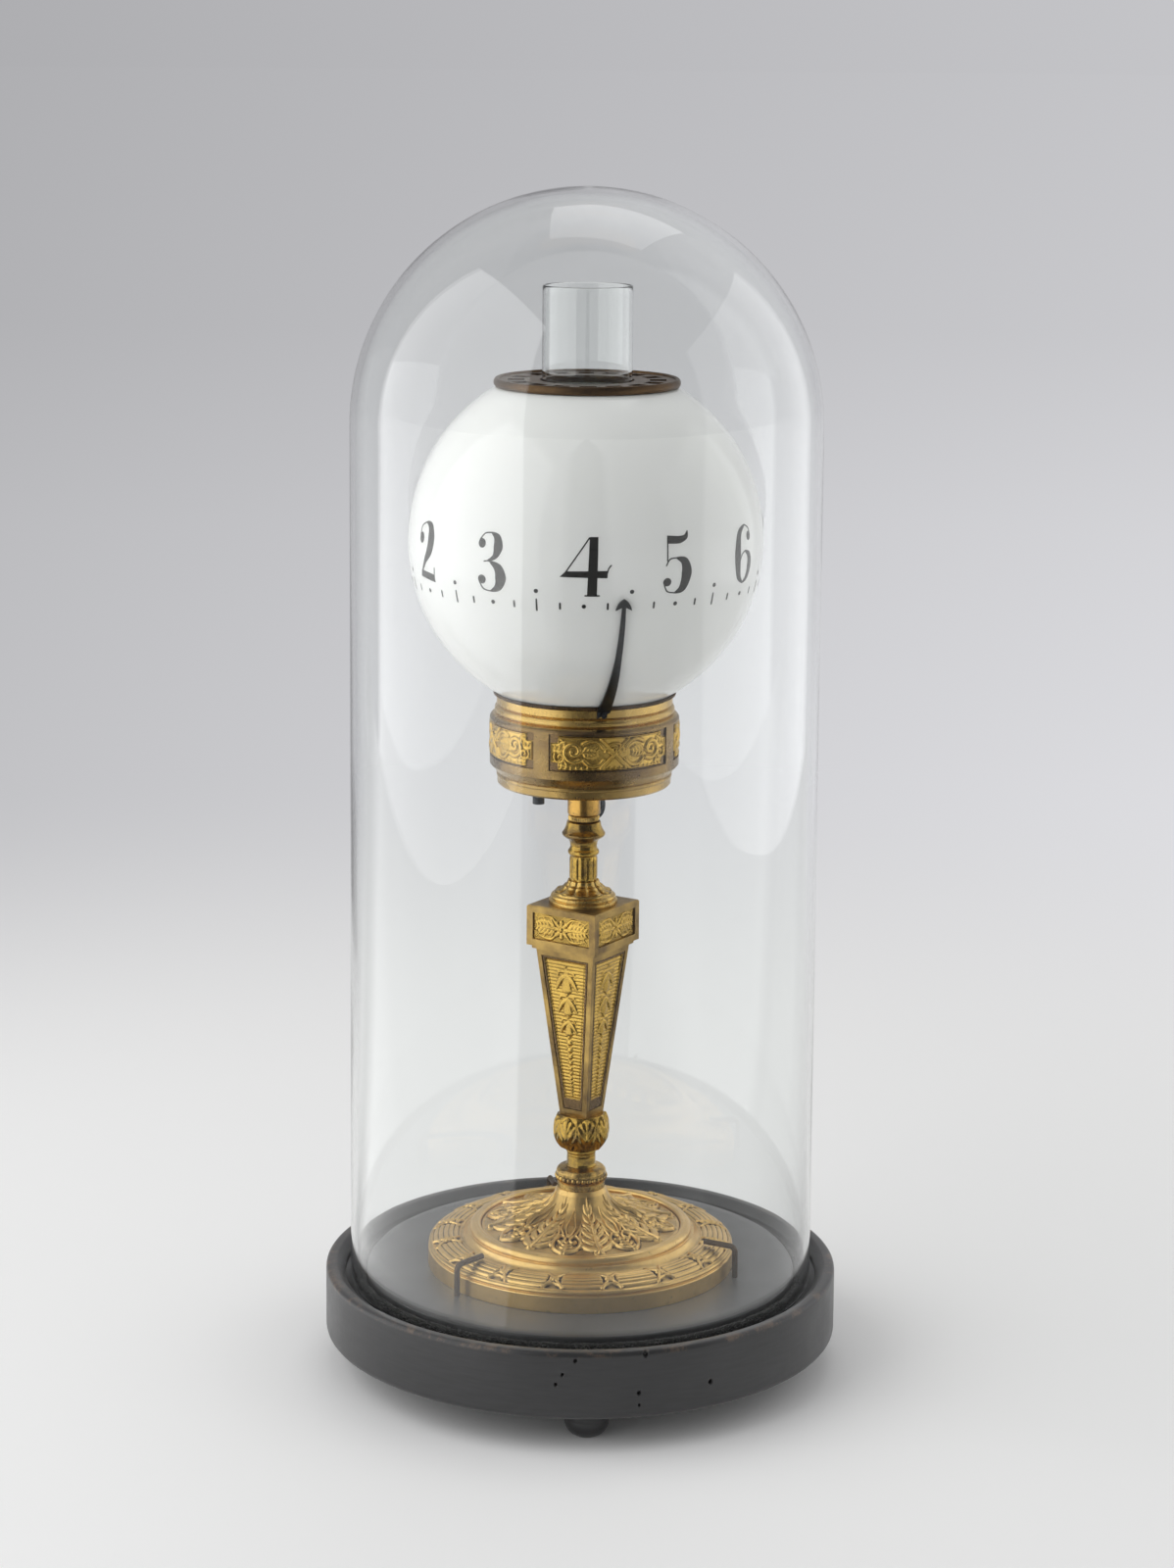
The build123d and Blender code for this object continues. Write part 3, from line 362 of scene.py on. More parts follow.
def raised_shape(name, shapes, place, thick, cell=0.25, margin=0.6):
    """Closed thin solids from flat shapes. place(x, y, lift) sets a point on the surface that carries them."""
    verts, faces = [], []
    for shape, (x0, x1, y0, y1) in shapes:
        xs = np.arange(x0 - margin, x1 + margin, cell)
        ys = np.arange(y0 - margin, y1 + margin, cell)
        u, v = np.meshgrid(xs, ys, indexing="ij")
        flat, cells, rim = contour_mesh(shape(u, v), xs, ys)
        base, count = len(verts), len(flat)
        verts += [place(x, y, thick) for x, y in flat] + [place(x, y, 0.0) for x, y in flat]
        for face in cells:
            faces.append([base + n for n in face])
            faces.append([base + count + n for n in reversed(face)])
        for a, b in rim:
            faces.append([base + b, base + a, base + count + a, base + count + b])
    return tidy_mesh(make_object(name, verts, faces, smooth=False), 1e-7)


# Materials.

class Recipe:
    """Short way to write a node material."""

    def __init__(self, name):
        self.material = bpy.data.materials.new(name)
        self.material.use_nodes = True
        self.tree = self.material.node_tree
        self.tree.nodes.clear()
        self.links = self.tree.links
        self.out = self.node("ShaderNodeOutputMaterial")

    def node(self, kind, **values):
        made = self.tree.nodes.new(kind)
        for key, value in values.items():
            if key in made.inputs:
                self.put(made.inputs[key], value)
            else:
                setattr(made, key, value)
        return made

    def put(self, socket, value):
        if isinstance(value, bpy.types.NodeSocket):
            self.links.new(value, socket)
        else:
            socket.default_value = value

    def place(self, scale=(1, 1, 1)):
        """Object coordinates, stretched."""
        where = self.node("ShaderNodeTexCoord").outputs["Object"]
        return self.node("ShaderNodeMapping", Vector=where, Scale=scale).outputs["Vector"]

    def noise(self, scale, detail=4.0, rough=0.55, stretch=(1, 1, 1), warp=0.0):
        return self.node("ShaderNodeTexNoise", Vector=self.place(stretch), Scale=scale, Detail=detail,
                         Roughness=rough, Distortion=warp).outputs["Fac"]

    def ramp(self, fac, *stops):
        made = self.node("ShaderNodeValToRGB", Fac=fac)
        ramp = made.color_ramp
        while len(ramp.elements) < len(stops):
            ramp.elements.new(0.5)
        for element, (where, colour) in zip(ramp.elements, stops):
            element.position = where
            element.color = tuple(colour) + (1,) if len(colour) == 3 else colour
        return made.outputs["Color"]

    def fit(self, value, low, high, to_low=0.0, to_high=1.0):
        made = self.node("ShaderNodeMapRange", Value=value)
        for socket, number in zip(made.inputs[1:5], (low, high, to_low, to_high)):
            self.put(socket, number)
        return made.outputs["Result"]

    def math(self, kind, a, b=0.0, c=None):
        made = self.node("ShaderNodeMath", operation=kind)
        for socket, value in zip(made.inputs, (a, b, c)):
            if value is not None:
                self.put(socket, value)
        return made.outputs["Value"]

    def mix(self, fac, a, b, blend="MIX"):
        made = self.node("ShaderNodeMix", data_type="RGBA", blend_type=blend)
        self.put(made.inputs["Factor"], fac)
        for socket, value in ((made.inputs[6], a), (made.inputs[7], b)):
            self.put(socket, tuple(value) + (1,) if isinstance(value, tuple) and len(value) == 3 else value)
        return made.outputs[2]

    def bump(self, height, distance, strength=1.0, under=None):
        made = self.node("ShaderNodeBump", Height=height, Distance=distance, Strength=strength)
        if under is not None:
            self.put(made.inputs["Normal"], under)
        return made.outputs["Normal"]

    def surface(self, **values):
        shader = self.node("ShaderNodeBsdfPrincipled")
        for key, value in values.items():
            self.put(shader.inputs[key.replace("_", " ")], value)
        self.links.new(shader.outputs[0], self.out.inputs[0])
        return shader

    def edges(self, reach):
        """1 along worn outer edges, 0 elsewhere."""
        bevel = self.node("ShaderNodeBevel", samples=4)
        bevel.inputs["Radius"].default_value = reach
        plain = self.node("ShaderNodeNewGeometry").outputs["Normal"]
        dot = self.node("ShaderNodeVectorMath", operation="DOT_PRODUCT")
        self.links.new(bevel.outputs[0], dot.inputs[0])
        self.links.new(plain, dot.inputs[1])
        return self.fit(dot.outputs["Value"], 0.995, 0.8)


def shade(hexa):
    """A colour written as six hex digits, as a linear value."""
    parts = [int(hexa[k:k + 2], 16) / 255 for k in (0, 2, 4)]
    return tuple(c / 12.92 if c <= 0.04045 else ((c + 0.055) / 1.055) ** 2.4 for c in parts)


# Sizes and colours that a user would change.

class LampClockSizes(bpy.types.PropertyGroup):
    """Sizes of the dressing and of the studio"""
    numeral_height: FloatProperty(name="Numeral height", description="Height of the hour numerals on the globe",
                                  default=22.4 * MM, unit="LENGTH")
    enamel_rise: FloatProperty(name="Enamel rise", description="Thickness of the fired numerals",
                               default=0.07 * MM, unit="LENGTH")
    reading: FloatProperty(name="Numeral 4 offset", description="Angle of the numeral 4 from the pointer",
                           default=math.radians(-12.5), subtype="ANGLE")
    chenille_reach: FloatProperty(name="Chenille reach", description="Length of the cord's fibres",
                                  default=1.5 * MM, unit="LENGTH")
    chenille_tufts: IntProperty(name="Chenille tufts", description="Number of tufts round the cord", default=1500)
    foot_bindings: IntProperty(name="Foot bindings", description="Ribbon crossings round the brass foot",
                               default=16)
    cone_leaves: IntProperty(name="Cone leaves", description="Acanthus leaves round the foot cone", default=8)
    ball_leaves: IntProperty(name="Ball leaves", description="Leaves round the ball under the shaft", default=8)
    collar_beads: IntProperty(name="Collar beads", description="Beads round the collar", default=30)
    neck_reeds: IntProperty(name="Neck reeds", description="Reeds round the slender neck", default=10)
    nut_knurls: IntProperty(name="Nut knurls", description="Knurls round the nut over the knop", default=40)
    lip_teeth: IntProperty(name="Lip teeth", description="Fine teeth round the turning ring", default=264)
    camera_reach: FloatProperty(name="Camera reach", description="Level distance from the clock's axis to the camera",
                                default=1.326058, unit="LENGTH")
    camera_height: FloatProperty(name="Camera height", description="Height of the camera over the floor",
                                 default=0.526, unit="LENGTH")
    camera_side: FloatProperty(name="Camera side", description="Angle of the camera round the clock",
                               default=math.radians(-12), subtype="ANGLE")
    camera_tilt: FloatProperty(name="Camera tilt", description="Angle of the camera below level",
                               default=math.radians(8.428), subtype="ANGLE")
    camera_roll: FloatProperty(name="Camera roll", description="Lean of the camera", default=math.radians(0.45),
                               subtype="ANGLE")
    camera_lens: FloatProperty(name="Camera lens", description="Focal length in millimetres", default=80.457)
    left_light: FloatProperty(name="Left light", description="Brightness of the left soft box", default=1.35)
    right_light: FloatProperty(name="Right light", description="Brightness of the right soft box", default=0.62)
    sky: FloatProperty(name="Sky", description="Strength of the even light from all round", default=0.5)


class LampClockColours(bpy.types.PropertyGroup):
    """Colours of the finishes"""
    wood: FloatVectorProperty(name="Ebonised wood", description="Stained wood of the base", subtype="COLOR",
                              default=shade("2a2a2b"))
    wood_bare: FloatVectorProperty(name="Worn wood", description="Wood under the stain", subtype="COLOR",
                                   default=shade("6a5848"))
    gilt: FloatVectorProperty(name="Gilding", description="Bright gilding", subtype="COLOR", default=shade("deb96a"))
    tarnish: FloatVectorProperty(name="Tarnish", description="Brown tarnish on frames and in hollows",
                                 subtype="COLOR", default=shade("68543f"))
    # Dark tarnish in random spots, and also the painted shade in the hollows of the chased brass
    dark_tarnish: FloatVectorProperty(name="Deep tarnish", description="Dark residue in the deepest hollows",
                                      subtype="COLOR", default=shade("3a2a18"))
    bronze: FloatVectorProperty(name="Bronze", description="Brown bronze of the vent cap", subtype="COLOR",
                                default=shade("6e563c"))
    opal: FloatVectorProperty(name="Opal glass", description="White glass of the globe", subtype="COLOR",
                              default=shade("f4f4f2"))
    enamel: FloatVectorProperty(name="Enamel", description="Fired black of the numerals", subtype="COLOR",
                                default=shade("262524"))
    chenille: FloatVectorProperty(name="Chenille", description="Black cord at the foot of the dome",
                                  subtype="COLOR", default=shade("232322"))
    blued: FloatVectorProperty(name="Blued steel", description="Dark steel of the pointer", subtype="COLOR",
                               default=shade("3a3c40"))
    steel: FloatVectorProperty(name="Steel", description="Bright steel of arbors and the key", subtype="COLOR",
                               default=shade("9c9c9e"))
    brass: FloatVectorProperty(name="Movement brass", description="Lacquered brass of wheels and lamp",
                               subtype="COLOR", default=shade("d8b56a"))
    cotton: FloatVectorProperty(name="Wick cotton", description="Woven wick", subtype="COLOR",
                                default=shade("d9d2bf"))
    wire: FloatVectorProperty(name="Clip wire", description="Dull brown wire of the clips", subtype="COLOR",
                              default=shade("6b5a48"))
    floor: FloatVectorProperty(name="Floor", description="Pale floor", subtype="COLOR", default=shade("f2f2f2"))


def sizes():
    return bpy.context.scene.lamp_clock_sizes


def colours():
    return bpy.context.scene.lamp_clock_colours


# Finishes.

def ebonised_wood():
    """Black stained wood, lighter on top with dust and a painted sheen, with brown wood showing along the worn rim and
    painted shade inside its holes.
    """
    tone, bare = tuple(colours().wood), tuple(colours().wood_bare)
    r = Recipe("ebonised_wood")
    rings = r.noise(90, 5, 0.6, (1, 1, 9))
    pores = r.noise(620, 3, 0.6, (1, 1, 0.14))
    dull = r.noise(34, 4, 0.6)
    axes = r.node("ShaderNodeSeparateXYZ", Vector=r.place()).outputs
    away = r.math("SQRT", r.math("ADD", r.math("POWER", axes["X"], 2.0), r.math("POWER", axes["Y"], 2.0)))
    rim = r.math("MULTIPLY", r.fit(away, 0.0945, 0.0985), r.fit(axes["Z"], (BASE_TOP - 2.2) * MM, (BASE_TOP - 1.0) * MM))
    spotty = r.fit(r.noise(150, 5, 0.75), 0.5, 0.62)
    worn = r.math("MULTIPLY", r.math("MAXIMUM", r.edges(0.0011), rim), spotty)
    base = r.mix(r.fit(rings, 0.3, 0.7), tuple(c * 0.82 for c in tone), tuple(c * 1.22 for c in tone))
    base = r.mix(r.math("MULTIPLY", worn, 0.6), base, bare)
    # Upward faces are drawn lighter grey: partly dust, partly a painted sheen of the bright surroundings
    flat = r.node("ShaderNodeSeparateXYZ", Vector=r.node("ShaderNodeNewGeometry").outputs["Normal"]).outputs["Z"]
    dust_and_sheen = r.math("MULTIPLY", r.fit(flat, 0.75, 1.0), r.fit(r.noise(26, 5, 0.6), 0.3, 0.75, 0.35, 0.75))
    base = r.mix(r.math("MULTIPLY", dust_and_sheen, 0.16), base, shade("8f8f8c"))
    # Painted shade: the worm holes are drawn near black inside
    hole = r.node("ShaderNodeAttribute", attribute_name="hollow").outputs["Fac"]
    base = r.mix(r.fit(hole, 0.15, 0.5), base, shade("0c0b0a"))
    height = r.math("ADD", r.math("MULTIPLY", rings, 0.5), r.math("MULTIPLY", pores, 0.5))
    r.surface(Base_Color=base, Roughness=r.fit(dull, 0.3, 0.7, 0.3, 0.46), Specular_IOR_Level=0.6,
              Sheen_Weight=0.12, Sheen_Roughness=0.45, Normal=r.bump(height, 0.00012, 0.35))
    return r.material


def gilding(name, bright, dull, deep, frame=None, rough=(0.2, 0.42)):
    """Gilt brass, darkened in its hollows by tarnish and painted shade. frame(recipe) gives where the metal has turned
    brown.
    """
    r = Recipe(name)
    hollow = r.node("ShaderNodeAttribute", attribute_name="hollow").outputs["Fac"]
    cloud = r.noise(95, 5, 0.62)
    spots = r.noise(420, 4, 0.7)
    # sunk: painted shade, with some tarnish, in the hollows, from the hollow attribute broken up by noise; it mixes in
    # the deep colour
    sunk = r.fit(r.math("ADD", hollow, r.math("MULTIPLY", r.math("SUBTRACT", cloud, 0.5), 0.5)), 0.12, 0.85)
    base = r.mix(r.fit(cloud, 0.35, 0.7), tuple(bright), tuple(0.75 * b + 0.25 * d for b, d in zip(bright, dull)))
    brown = r.mix(r.fit(spots, 0.35, 0.68), tuple(dull), tuple(0.6 * d + 0.1 * b for b, d in zip(bright, dull)))
    dulled = r.node("ShaderNodeAttribute", attribute_name="brown").outputs["Fac"]
    if frame is not None:
        dulled = r.math("MAXIMUM", dulled, frame(r))
    base = r.mix(dulled, base, brown)
    base = r.mix(sunk, base, tuple(deep))
    base = r.mix(r.math("MULTIPLY", r.fit(spots, 0.62, 0.72), 0.55), base, tuple(deep))
    high, low = rough[1], rough[0]
    grain = r.fit(r.math("ADD", cloud, r.math("MULTIPLY", sunk, 0.6)), 0.35, 1.1, low, high)
    fine = r.math("ADD", r.math("MULTIPLY", spots, 0.6), r.math("MULTIPLY", cloud, 0.6))
    r.surface(Base_Color=base, Metallic=1.0, Roughness=grain, Normal=r.bump(fine, 0.00010, 0.5))
    return r.material


def clear_glass(name, tint, ripple, ior=1.47):
    """Thin blown glass: light and shadow go straight through, and looks go by refraction."""
    r = Recipe(name)
    path = r.node("ShaderNodeLightPath")
    wave = r.noise(14, 2, 0.5, (1, 1, 0.35))
    shader = r.node("ShaderNodeBsdfPrincipled")
    for key, value in (("Base Color", tint), ("Roughness", 0.0), ("IOR", ior), ("Transmission Weight", 1.0)):
        r.put(shader.inputs[key], value + (1,) if isinstance(value, tuple) else value)
    r.put(shader.inputs["Normal"], r.bump(wave, ripple, 1.0))
    through = r.node("ShaderNodeBsdfTransparent")
    r.put(through.inputs[0], tuple(0.5 + c / 2 for c in tint) + (1,))
    straight = r.math("MAXIMUM", path.outputs["Is Shadow Ray"], path.outputs["Is Diffuse Ray"])
    both_ways = r.node("ShaderNodeMixShader", Fac=straight)
    r.links.new(shader.outputs[0], both_ways.inputs[1])
    r.links.new(through.outputs[0], both_ways.inputs[2])
    r.links.new(both_ways.outputs[0], r.out.inputs[0])
    return r.material


def opal_glass():
    tone = tuple(colours().opal)
    r = Recipe("opal_glass")
    cloud = r.noise(16, 3, 0.5)
    seed = r.noise(900, 2, 0.5)
    base = r.mix(r.fit(cloud, 0.3, 0.7), tone, tuple(c * k for c, k in zip(tone, (0.975, 0.98, 0.965))))
    r.surface(Base_Color=base, Roughness=r.fit(cloud, 0.3, 0.7, 0.06, 0.11), Subsurface_Weight=0.25,
              Subsurface_Radius=(0.012, 0.012, 0.011), Subsurface_Scale=1.0, IOR=1.5,
              Normal=r.bump(r.math("ADD", r.math("MULTIPLY", cloud, 0.9), r.math("MULTIPLY", seed, 0.1)), 0.0003, 0.3))
    return r.material


def fired_enamel():
    r = Recipe("fired_enamel")
    scratch = r.noise(260, 3, 0.6, (1, 1, 7), 0.4)
    wear = r.fit(r.math("MULTIPLY", scratch, r.noise(70, 3, 0.6)), 0.36, 0.42)
    base = r.mix(r.math("MULTIPLY", wear, 0.55), tuple(colours().enamel), (0.42, 0.41, 0.39))
    r.surface(Base_Color=base, Roughness=r.fit(scratch, 0.3, 0.7, 0.25, 0.4), Normal=r.bump(scratch, 0.00005, 0.4))
    return r.material


def metal(name, tone, rough, stretch=(1, 1, 1), scale=500, spot=0.2, metallic=1.0):
    """Machined or drawn metal with fine marks along one direction."""
    r = Recipe(name)
    marks = r.noise(scale, 3, 0.6, stretch)
    cloud = r.noise(80, 4, 0.6)
    tone = tuple(tone)
    base = r.mix(r.fit(cloud, 0.3, 0.75), tone, tuple(c * (1 - spot) for c in tone))
    r.surface(Base_Color=base, Metallic=metallic, Roughness=r.fit(marks, 0.3, 0.7, rough * 0.8, rough * 1.25),
              Normal=r.bump(marks, 0.00003, 0.5))
    return r.material


def chenille_black():
    r = Recipe("chenille")
    fuzz = r.noise(1500, 3, 0.7)
    tone = tuple(colours().chenille)
    base = r.mix(r.fit(fuzz, 0.3, 0.7), tuple(c * 0.55 for c in tone), tuple(c * 1.9 for c in tone))
    r.surface(Base_Color=base, Roughness=0.95, Specular_IOR_Level=0.15, Sheen_Weight=0.25, Sheen_Roughness=0.5,
              Normal=r.bump(fuzz, 0.0003, 0.6))
    return r.material


def woven_cotton():
    r = Recipe("wick_cotton")
    yarn = r.noise(1200, 3, 0.6)
    char = r.fit(r.node("ShaderNodeSeparateXYZ", Vector=r.place()).outputs["Z"], level("wick") * MM + BASE_TOP * MM - 0.004,
                 (level("wick") + BASE_TOP - 0.8) * MM)
    tone = tuple(colours().cotton)
    base = r.mix(r.fit(yarn, 0.3, 0.7), tone, tuple(c * 0.8 for c in tone))
    base = r.mix(char, base, shade("2c2622"))
    r.surface(Base_Color=base, Roughness=0.9, Sheen_Weight=0.2, Normal=r.bump(yarn, 0.0002, 0.6))
    return r.material


MADE = {}


def finish(key):
    """The finish of one material slot, made once."""
    if key in MADE:
        return MADE[key]
    c = colours()
    olive = tuple(g * k for g, k in zip(c.gilt, (0.7, 0.68, 0.5)))
    warm = tuple(g * k for g, k in zip(c.gilt, (0.82, 0.72, 0.62)))

    def everywhere(r):
        return r.fit(r.noise(60, 4, 0.6), 0.35, 0.62, 0.35, 0.95)

    def patches(r):
        return r.math("MULTIPLY", r.fit(r.noise(75, 5, 0.65), 0.5, 0.62), 0.8)

    def drum_frame(r):
        """Brown on the tall band with the panels, gold above and below it."""
        height = r.node("ShaderNodeSeparateXYZ", Vector=r.place()).outputs["Z"]
        high = r.fit(height, (BASE_TOP + 219.0) * MM, (BASE_TOP + 219.8) * MM, 1.0, 0.3)
        low_edge = r.fit(height, (BASE_TOP + 199.4) * MM, (BASE_TOP + 200.4) * MM, 0.6, 1.0)
        return r.math("MULTIPLY", r.math("MULTIPLY", high, low_edge), r.fit(everywhere(r), 0.35, 0.95, 0.75, 1.0))

    makers = {
        "ebonised_wood": ebonised_wood,
        # gilt_brass, on the foot and cone, is paler and greyer than the plain gilding: partly its own tone, partly a
        # painted veil of the dome's reflection
        "gilt_brass": lambda: gilding("gilt_brass", tuple(g * k for g, k in zip(c.gilt, (1.1, 1.1, 1.3))), c.tarnish,
                                      c.dark_tarnish, None, (0.28, 0.46)),
        "aged_brass": lambda: gilding("aged_brass", c.gilt, c.tarnish, c.dark_tarnish, patches),
        "brown_brass": lambda: gilding("brown_brass", c.gilt, c.tarnish, c.dark_tarnish, everywhere, (0.32, 0.5)),
        "panel_brass": lambda: gilding("panel_brass", tuple(g * k for g, k in zip(c.gilt, (0.86, 0.84, 0.66))), c.tarnish,
                                       c.dark_tarnish, None, (0.2, 0.36)),
        "warm_brass": lambda: gilding("warm_brass", warm, c.tarnish, c.dark_tarnish, patches, (0.16, 0.34)),
        "drum_brass": lambda: gilding("drum_brass", c.gilt, c.tarnish, c.dark_tarnish, drum_frame, (0.24, 0.46)),
        "olive_brass": lambda: gilding("olive_brass", olive, c.tarnish, c.dark_tarnish, patches, (0.16, 0.34)),
        "dark_bronze": lambda: gilding("dark_bronze", c.bronze, tuple(0.5 * v for v in c.bronze), c.dark_tarnish,
                                       everywhere, (0.34, 0.52)),
        "clear_glass": lambda: clear_glass("clear_glass", (0.985, 0.995, 0.99), 0.0004),
        "opal_glass": opal_glass,
        "enamel": fired_enamel,
        "chenille": chenille_black,
        "clip_wire": lambda: metal("clip_wire", c.wire, 0.5, spot=0.4),
        "blued_steel": lambda: metal("blued_steel", c.blued, 0.34, (1, 1, 0.1), 900, 0.35),
        "steel": lambda: metal("steel", c.steel, 0.3),
        "movement_brass": lambda: metal("movement_brass", c.brass, 0.3, spot=0.25),
        "wick_cotton": woven_cotton,
    }
    MADE[key] = makers[key]()
    return MADE[key]


def dress(obj, body, slot, *nodes, look=None):
    """Gives a new piece its body, slot, finish and the nodes it stands for."""
    obj.data.materials.clear()
    obj.data.materials.append(finish(look or slot))
    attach(obj, body)
    if nodes:
        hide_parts(*nodes)
    return obj


def coat(look, *nodes):
    """Puts a finish on CAD nodes that stay."""
    for node in nodes:
        obj = frame["nodes"][node]
        for slot in obj.material_slots:
            slot.material = finish(look)


# The studio: camera, floor, lamps and world.

LEFT_SIDE, LEFT_AWAY = -72.5, 0.9
RIGHT_SIDE, RIGHT_AWAY = 95, 0.95


def floor_finish():
    """Pale floor that keeps the clock's shadow and turns into an even background further away. In front of the clock it
    is dark, as painted shade for reflections, and beside the clock it glows in reflections as painted reflections of
    the soft boxes.
    """
    r = Recipe("studio_floor")
    where = r.node("ShaderNodeNewGeometry").outputs["Position"]
    turn = r.node("ShaderNodeMapping", Vector=where, Rotation=(0, 0, -sizes().camera_side))
    axes = r.node("ShaderNodeSeparateXYZ", Vector=turn.outputs["Vector"]).outputs
    away = r.math("SQRT", r.math("ADD", r.math("POWER", axes["X"], 2.0), r.math("POWER", axes["Y"], 2.0)))
    far = r.node("ShaderNodeMapRange", Value=away, interpolation_type="SMOOTHSTEP")
    for socket, number in zip(far.inputs[1:5], (0.35, 1.1, 0.0, 1.0)):
        socket.default_value = number
    reach = r.math("ADD", axes["Y"], sizes().camera_reach)
    steep = r.math("DIVIDE", sizes().camera_height, r.math("MAXIMUM", reach, 0.1))
    back = r.ramp(r.fit(steep, 0.0, 0.45), (0.0, shade("aeaeb1")), (0.2, shade("b2b2b5")), (0.33, shade("bcbcbf")),
                  (0.58, shade("c6c6c9")), (0.85, shade("d2d2d4")), (1.0, shade("dedede")))
    across = r.math("DIVIDE", axes["X"], r.math("MAXIMUM", reach, 0.3))
    back = r.mix(1.0, back, r.fit(across, -0.17, 0.19, 1.0, 1.33), "MULTIPLY")
    # Dark floor in front of the clock: painted shade standing in for the unlit room on the camera's side, seen mostly
    # in reflections on metal and glass
    front = r.math("MULTIPLY", r.fit(axes["Y"], -0.24, -0.42), r.fit(r.math("ABSOLUTE", axes["X"]), 0.5, 0.3))
    path = r.node("ShaderNodeLightPath").outputs
    seen = r.math("MAXIMUM", r.math("MAXIMUM", path["Is Camera Ray"], path["Is Glossy Ray"]),
                  path["Is Transmission Ray"])
    pale = tuple(colours().floor)
    plain = r.node("ShaderNodeBsdfDiffuse", Color=r.mix(front, pale, (0.10, 0.10, 0.10)))
    glow = r.node("ShaderNodeEmission", Color=back)
    behind = r.math("MULTIPLY", r.math("MULTIPLY", far.outputs["Result"], seen), r.fit(axes["Y"], -0.5, 0.1))
    turned = r.math("ARCTAN2", axes["X"], r.math("MULTIPLY", axes["Y"], -1.0))

    def within(side, reach):
        """1 on this side of a soft box, 0 beyond it."""
        x, y = math.sin(math.radians(side)), -math.cos(math.radians(side))
        return r.math("LESS_THAN", r.math("ADD", r.math("MULTIPLY", axes["X"], x), r.math("MULTIPLY", axes["Y"], y)),
                      reach)

    # Painted reflection: patches of floor under the soft boxes glow for glossy and transmission rays, carrying the
    # boxes' reflections down the glass and metal
    left = r.math("MULTIPLY", r.fit(turned, -0.47, -0.51), r.fit(turned, -2.3, -2.0))
    left = r.math("MULTIPLY", left, within(LEFT_SIDE, LEFT_AWAY))
    right = r.math("MULTIPLY", r.fit(turned, 0.97, 1.01), r.fit(turned, 2.4, 2.1))
    right = r.math("MULTIPLY", right, within(RIGHT_SIDE, RIGHT_AWAY))
    painted_box_reflection = r.math("ADD", r.math("MULTIPLY", left, sizes().left_light), r.math("MULTIPLY", right, sizes().right_light))
    mirrored = r.math("MAXIMUM", path["Is Glossy Ray"], path["Is Transmission Ray"])
    painted_box_reflection = r.math("MULTIPLY", r.math("MULTIPLY", painted_box_reflection, r.fit(away, 0.14, 0.2)), mirrored)
    behind = r.math("MULTIPLY", behind, r.math("LESS_THAN", painted_box_reflection, 0.01))
    mixed = r.node("ShaderNodeMixShader", Fac=behind)
    r.links.new(plain.outputs[0], mixed.inputs[1])
    r.links.new(glow.outputs[0], mixed.inputs[2])
    painted_box_glow = r.node("ShaderNodeEmission", Strength=painted_box_reflection)
    total = r.node("ShaderNodeMixShader", Fac=r.math("MINIMUM", painted_box_reflection, 1.0))
    r.links.new(mixed.outputs[0], total.inputs[1])
    r.links.new(painted_box_glow.outputs[0], total.inputs[2])
    r.links.new(total.outputs[0], r.out.inputs[0])
    return r.material


def studio_world():
    """Even sky for soft light; mirrors and glass see it dark towards the camera and pale behind the clock."""
    world = bpy.data.worlds.new("studio")
    bpy.context.scene.world = world
    world.use_nodes = True
    tree = world.node_tree
    tree.nodes.clear()

    def node(kind, **values):
        made = tree.nodes.new(kind)
        for key, value in values.items():
            if key in made.inputs:
                if isinstance(value, bpy.types.NodeSocket):
                    tree.links.new(value, made.inputs[key])
                else:
                    made.inputs[key].default_value = value
            else:
                setattr(made, key, value)
        return made

    sky = node("ShaderNodeBackground", Color=(1, 1, 1, 1), Strength=sizes().sky)
    where = node("ShaderNodeTexCoord").outputs["Generated"]
    turn = node("ShaderNodeMapping", Vector=where, Rotation=(0, 0, -sizes().camera_side))
    split = node("ShaderNodeSeparateXYZ", Vector=turn.outputs["Vector"])
    ramp = node("ShaderNodeValToRGB", Fac=node("ShaderNodeMapRange", Value=split.outputs["Y"]).outputs[0])
    ramp.inputs[0].links[0].from_node.inputs["From Min"].default_value = -1.0
    stops = ((0.0, "545456"), (0.3, "545456"), (0.55, "808084"), (0.8, "aeaeb1"))
    while len(ramp.color_ramp.elements) < len(stops):
        ramp.color_ramp.elements.new(0.5)
    for element, (place, tone) in zip(ramp.color_ramp.elements, stops):
        element.position, element.color = place, shade(tone) + (1,)
    slope = node("ShaderNodeMath", operation="DIVIDE")
    tree.links.new(split.outputs["X"], slope.inputs[0])
    tree.links.new(split.outputs["Y"], slope.inputs[1])
    across = node("ShaderNodeMapRange", Value=slope.outputs[0])
    for socket, number in zip(across.inputs[1:5], (-0.17, 0.19, 1.0, 1.33)):
        socket.default_value = number
    shown = node("ShaderNodeBackground", Color=ramp.outputs["Color"], Strength=across.outputs[0])
    path = node("ShaderNodeLightPath").outputs
    seen = path["Is Camera Ray"]
    for other in ("Is Glossy Ray", "Is Transmission Ray"):
        more = node("ShaderNodeMath", operation="MAXIMUM")
        tree.links.new(seen, more.inputs[0])
        tree.links.new(path[other], more.inputs[1])
        seen = more.outputs[0]
    mix = node("ShaderNodeMixShader", Fac=seen)
    tree.links.new(sky.outputs[0], mix.inputs[1])
    tree.links.new(shown.outputs[0], mix.inputs[2])
    tree.links.new(mix.outputs[0], node("ShaderNodeOutputWorld").inputs[0])


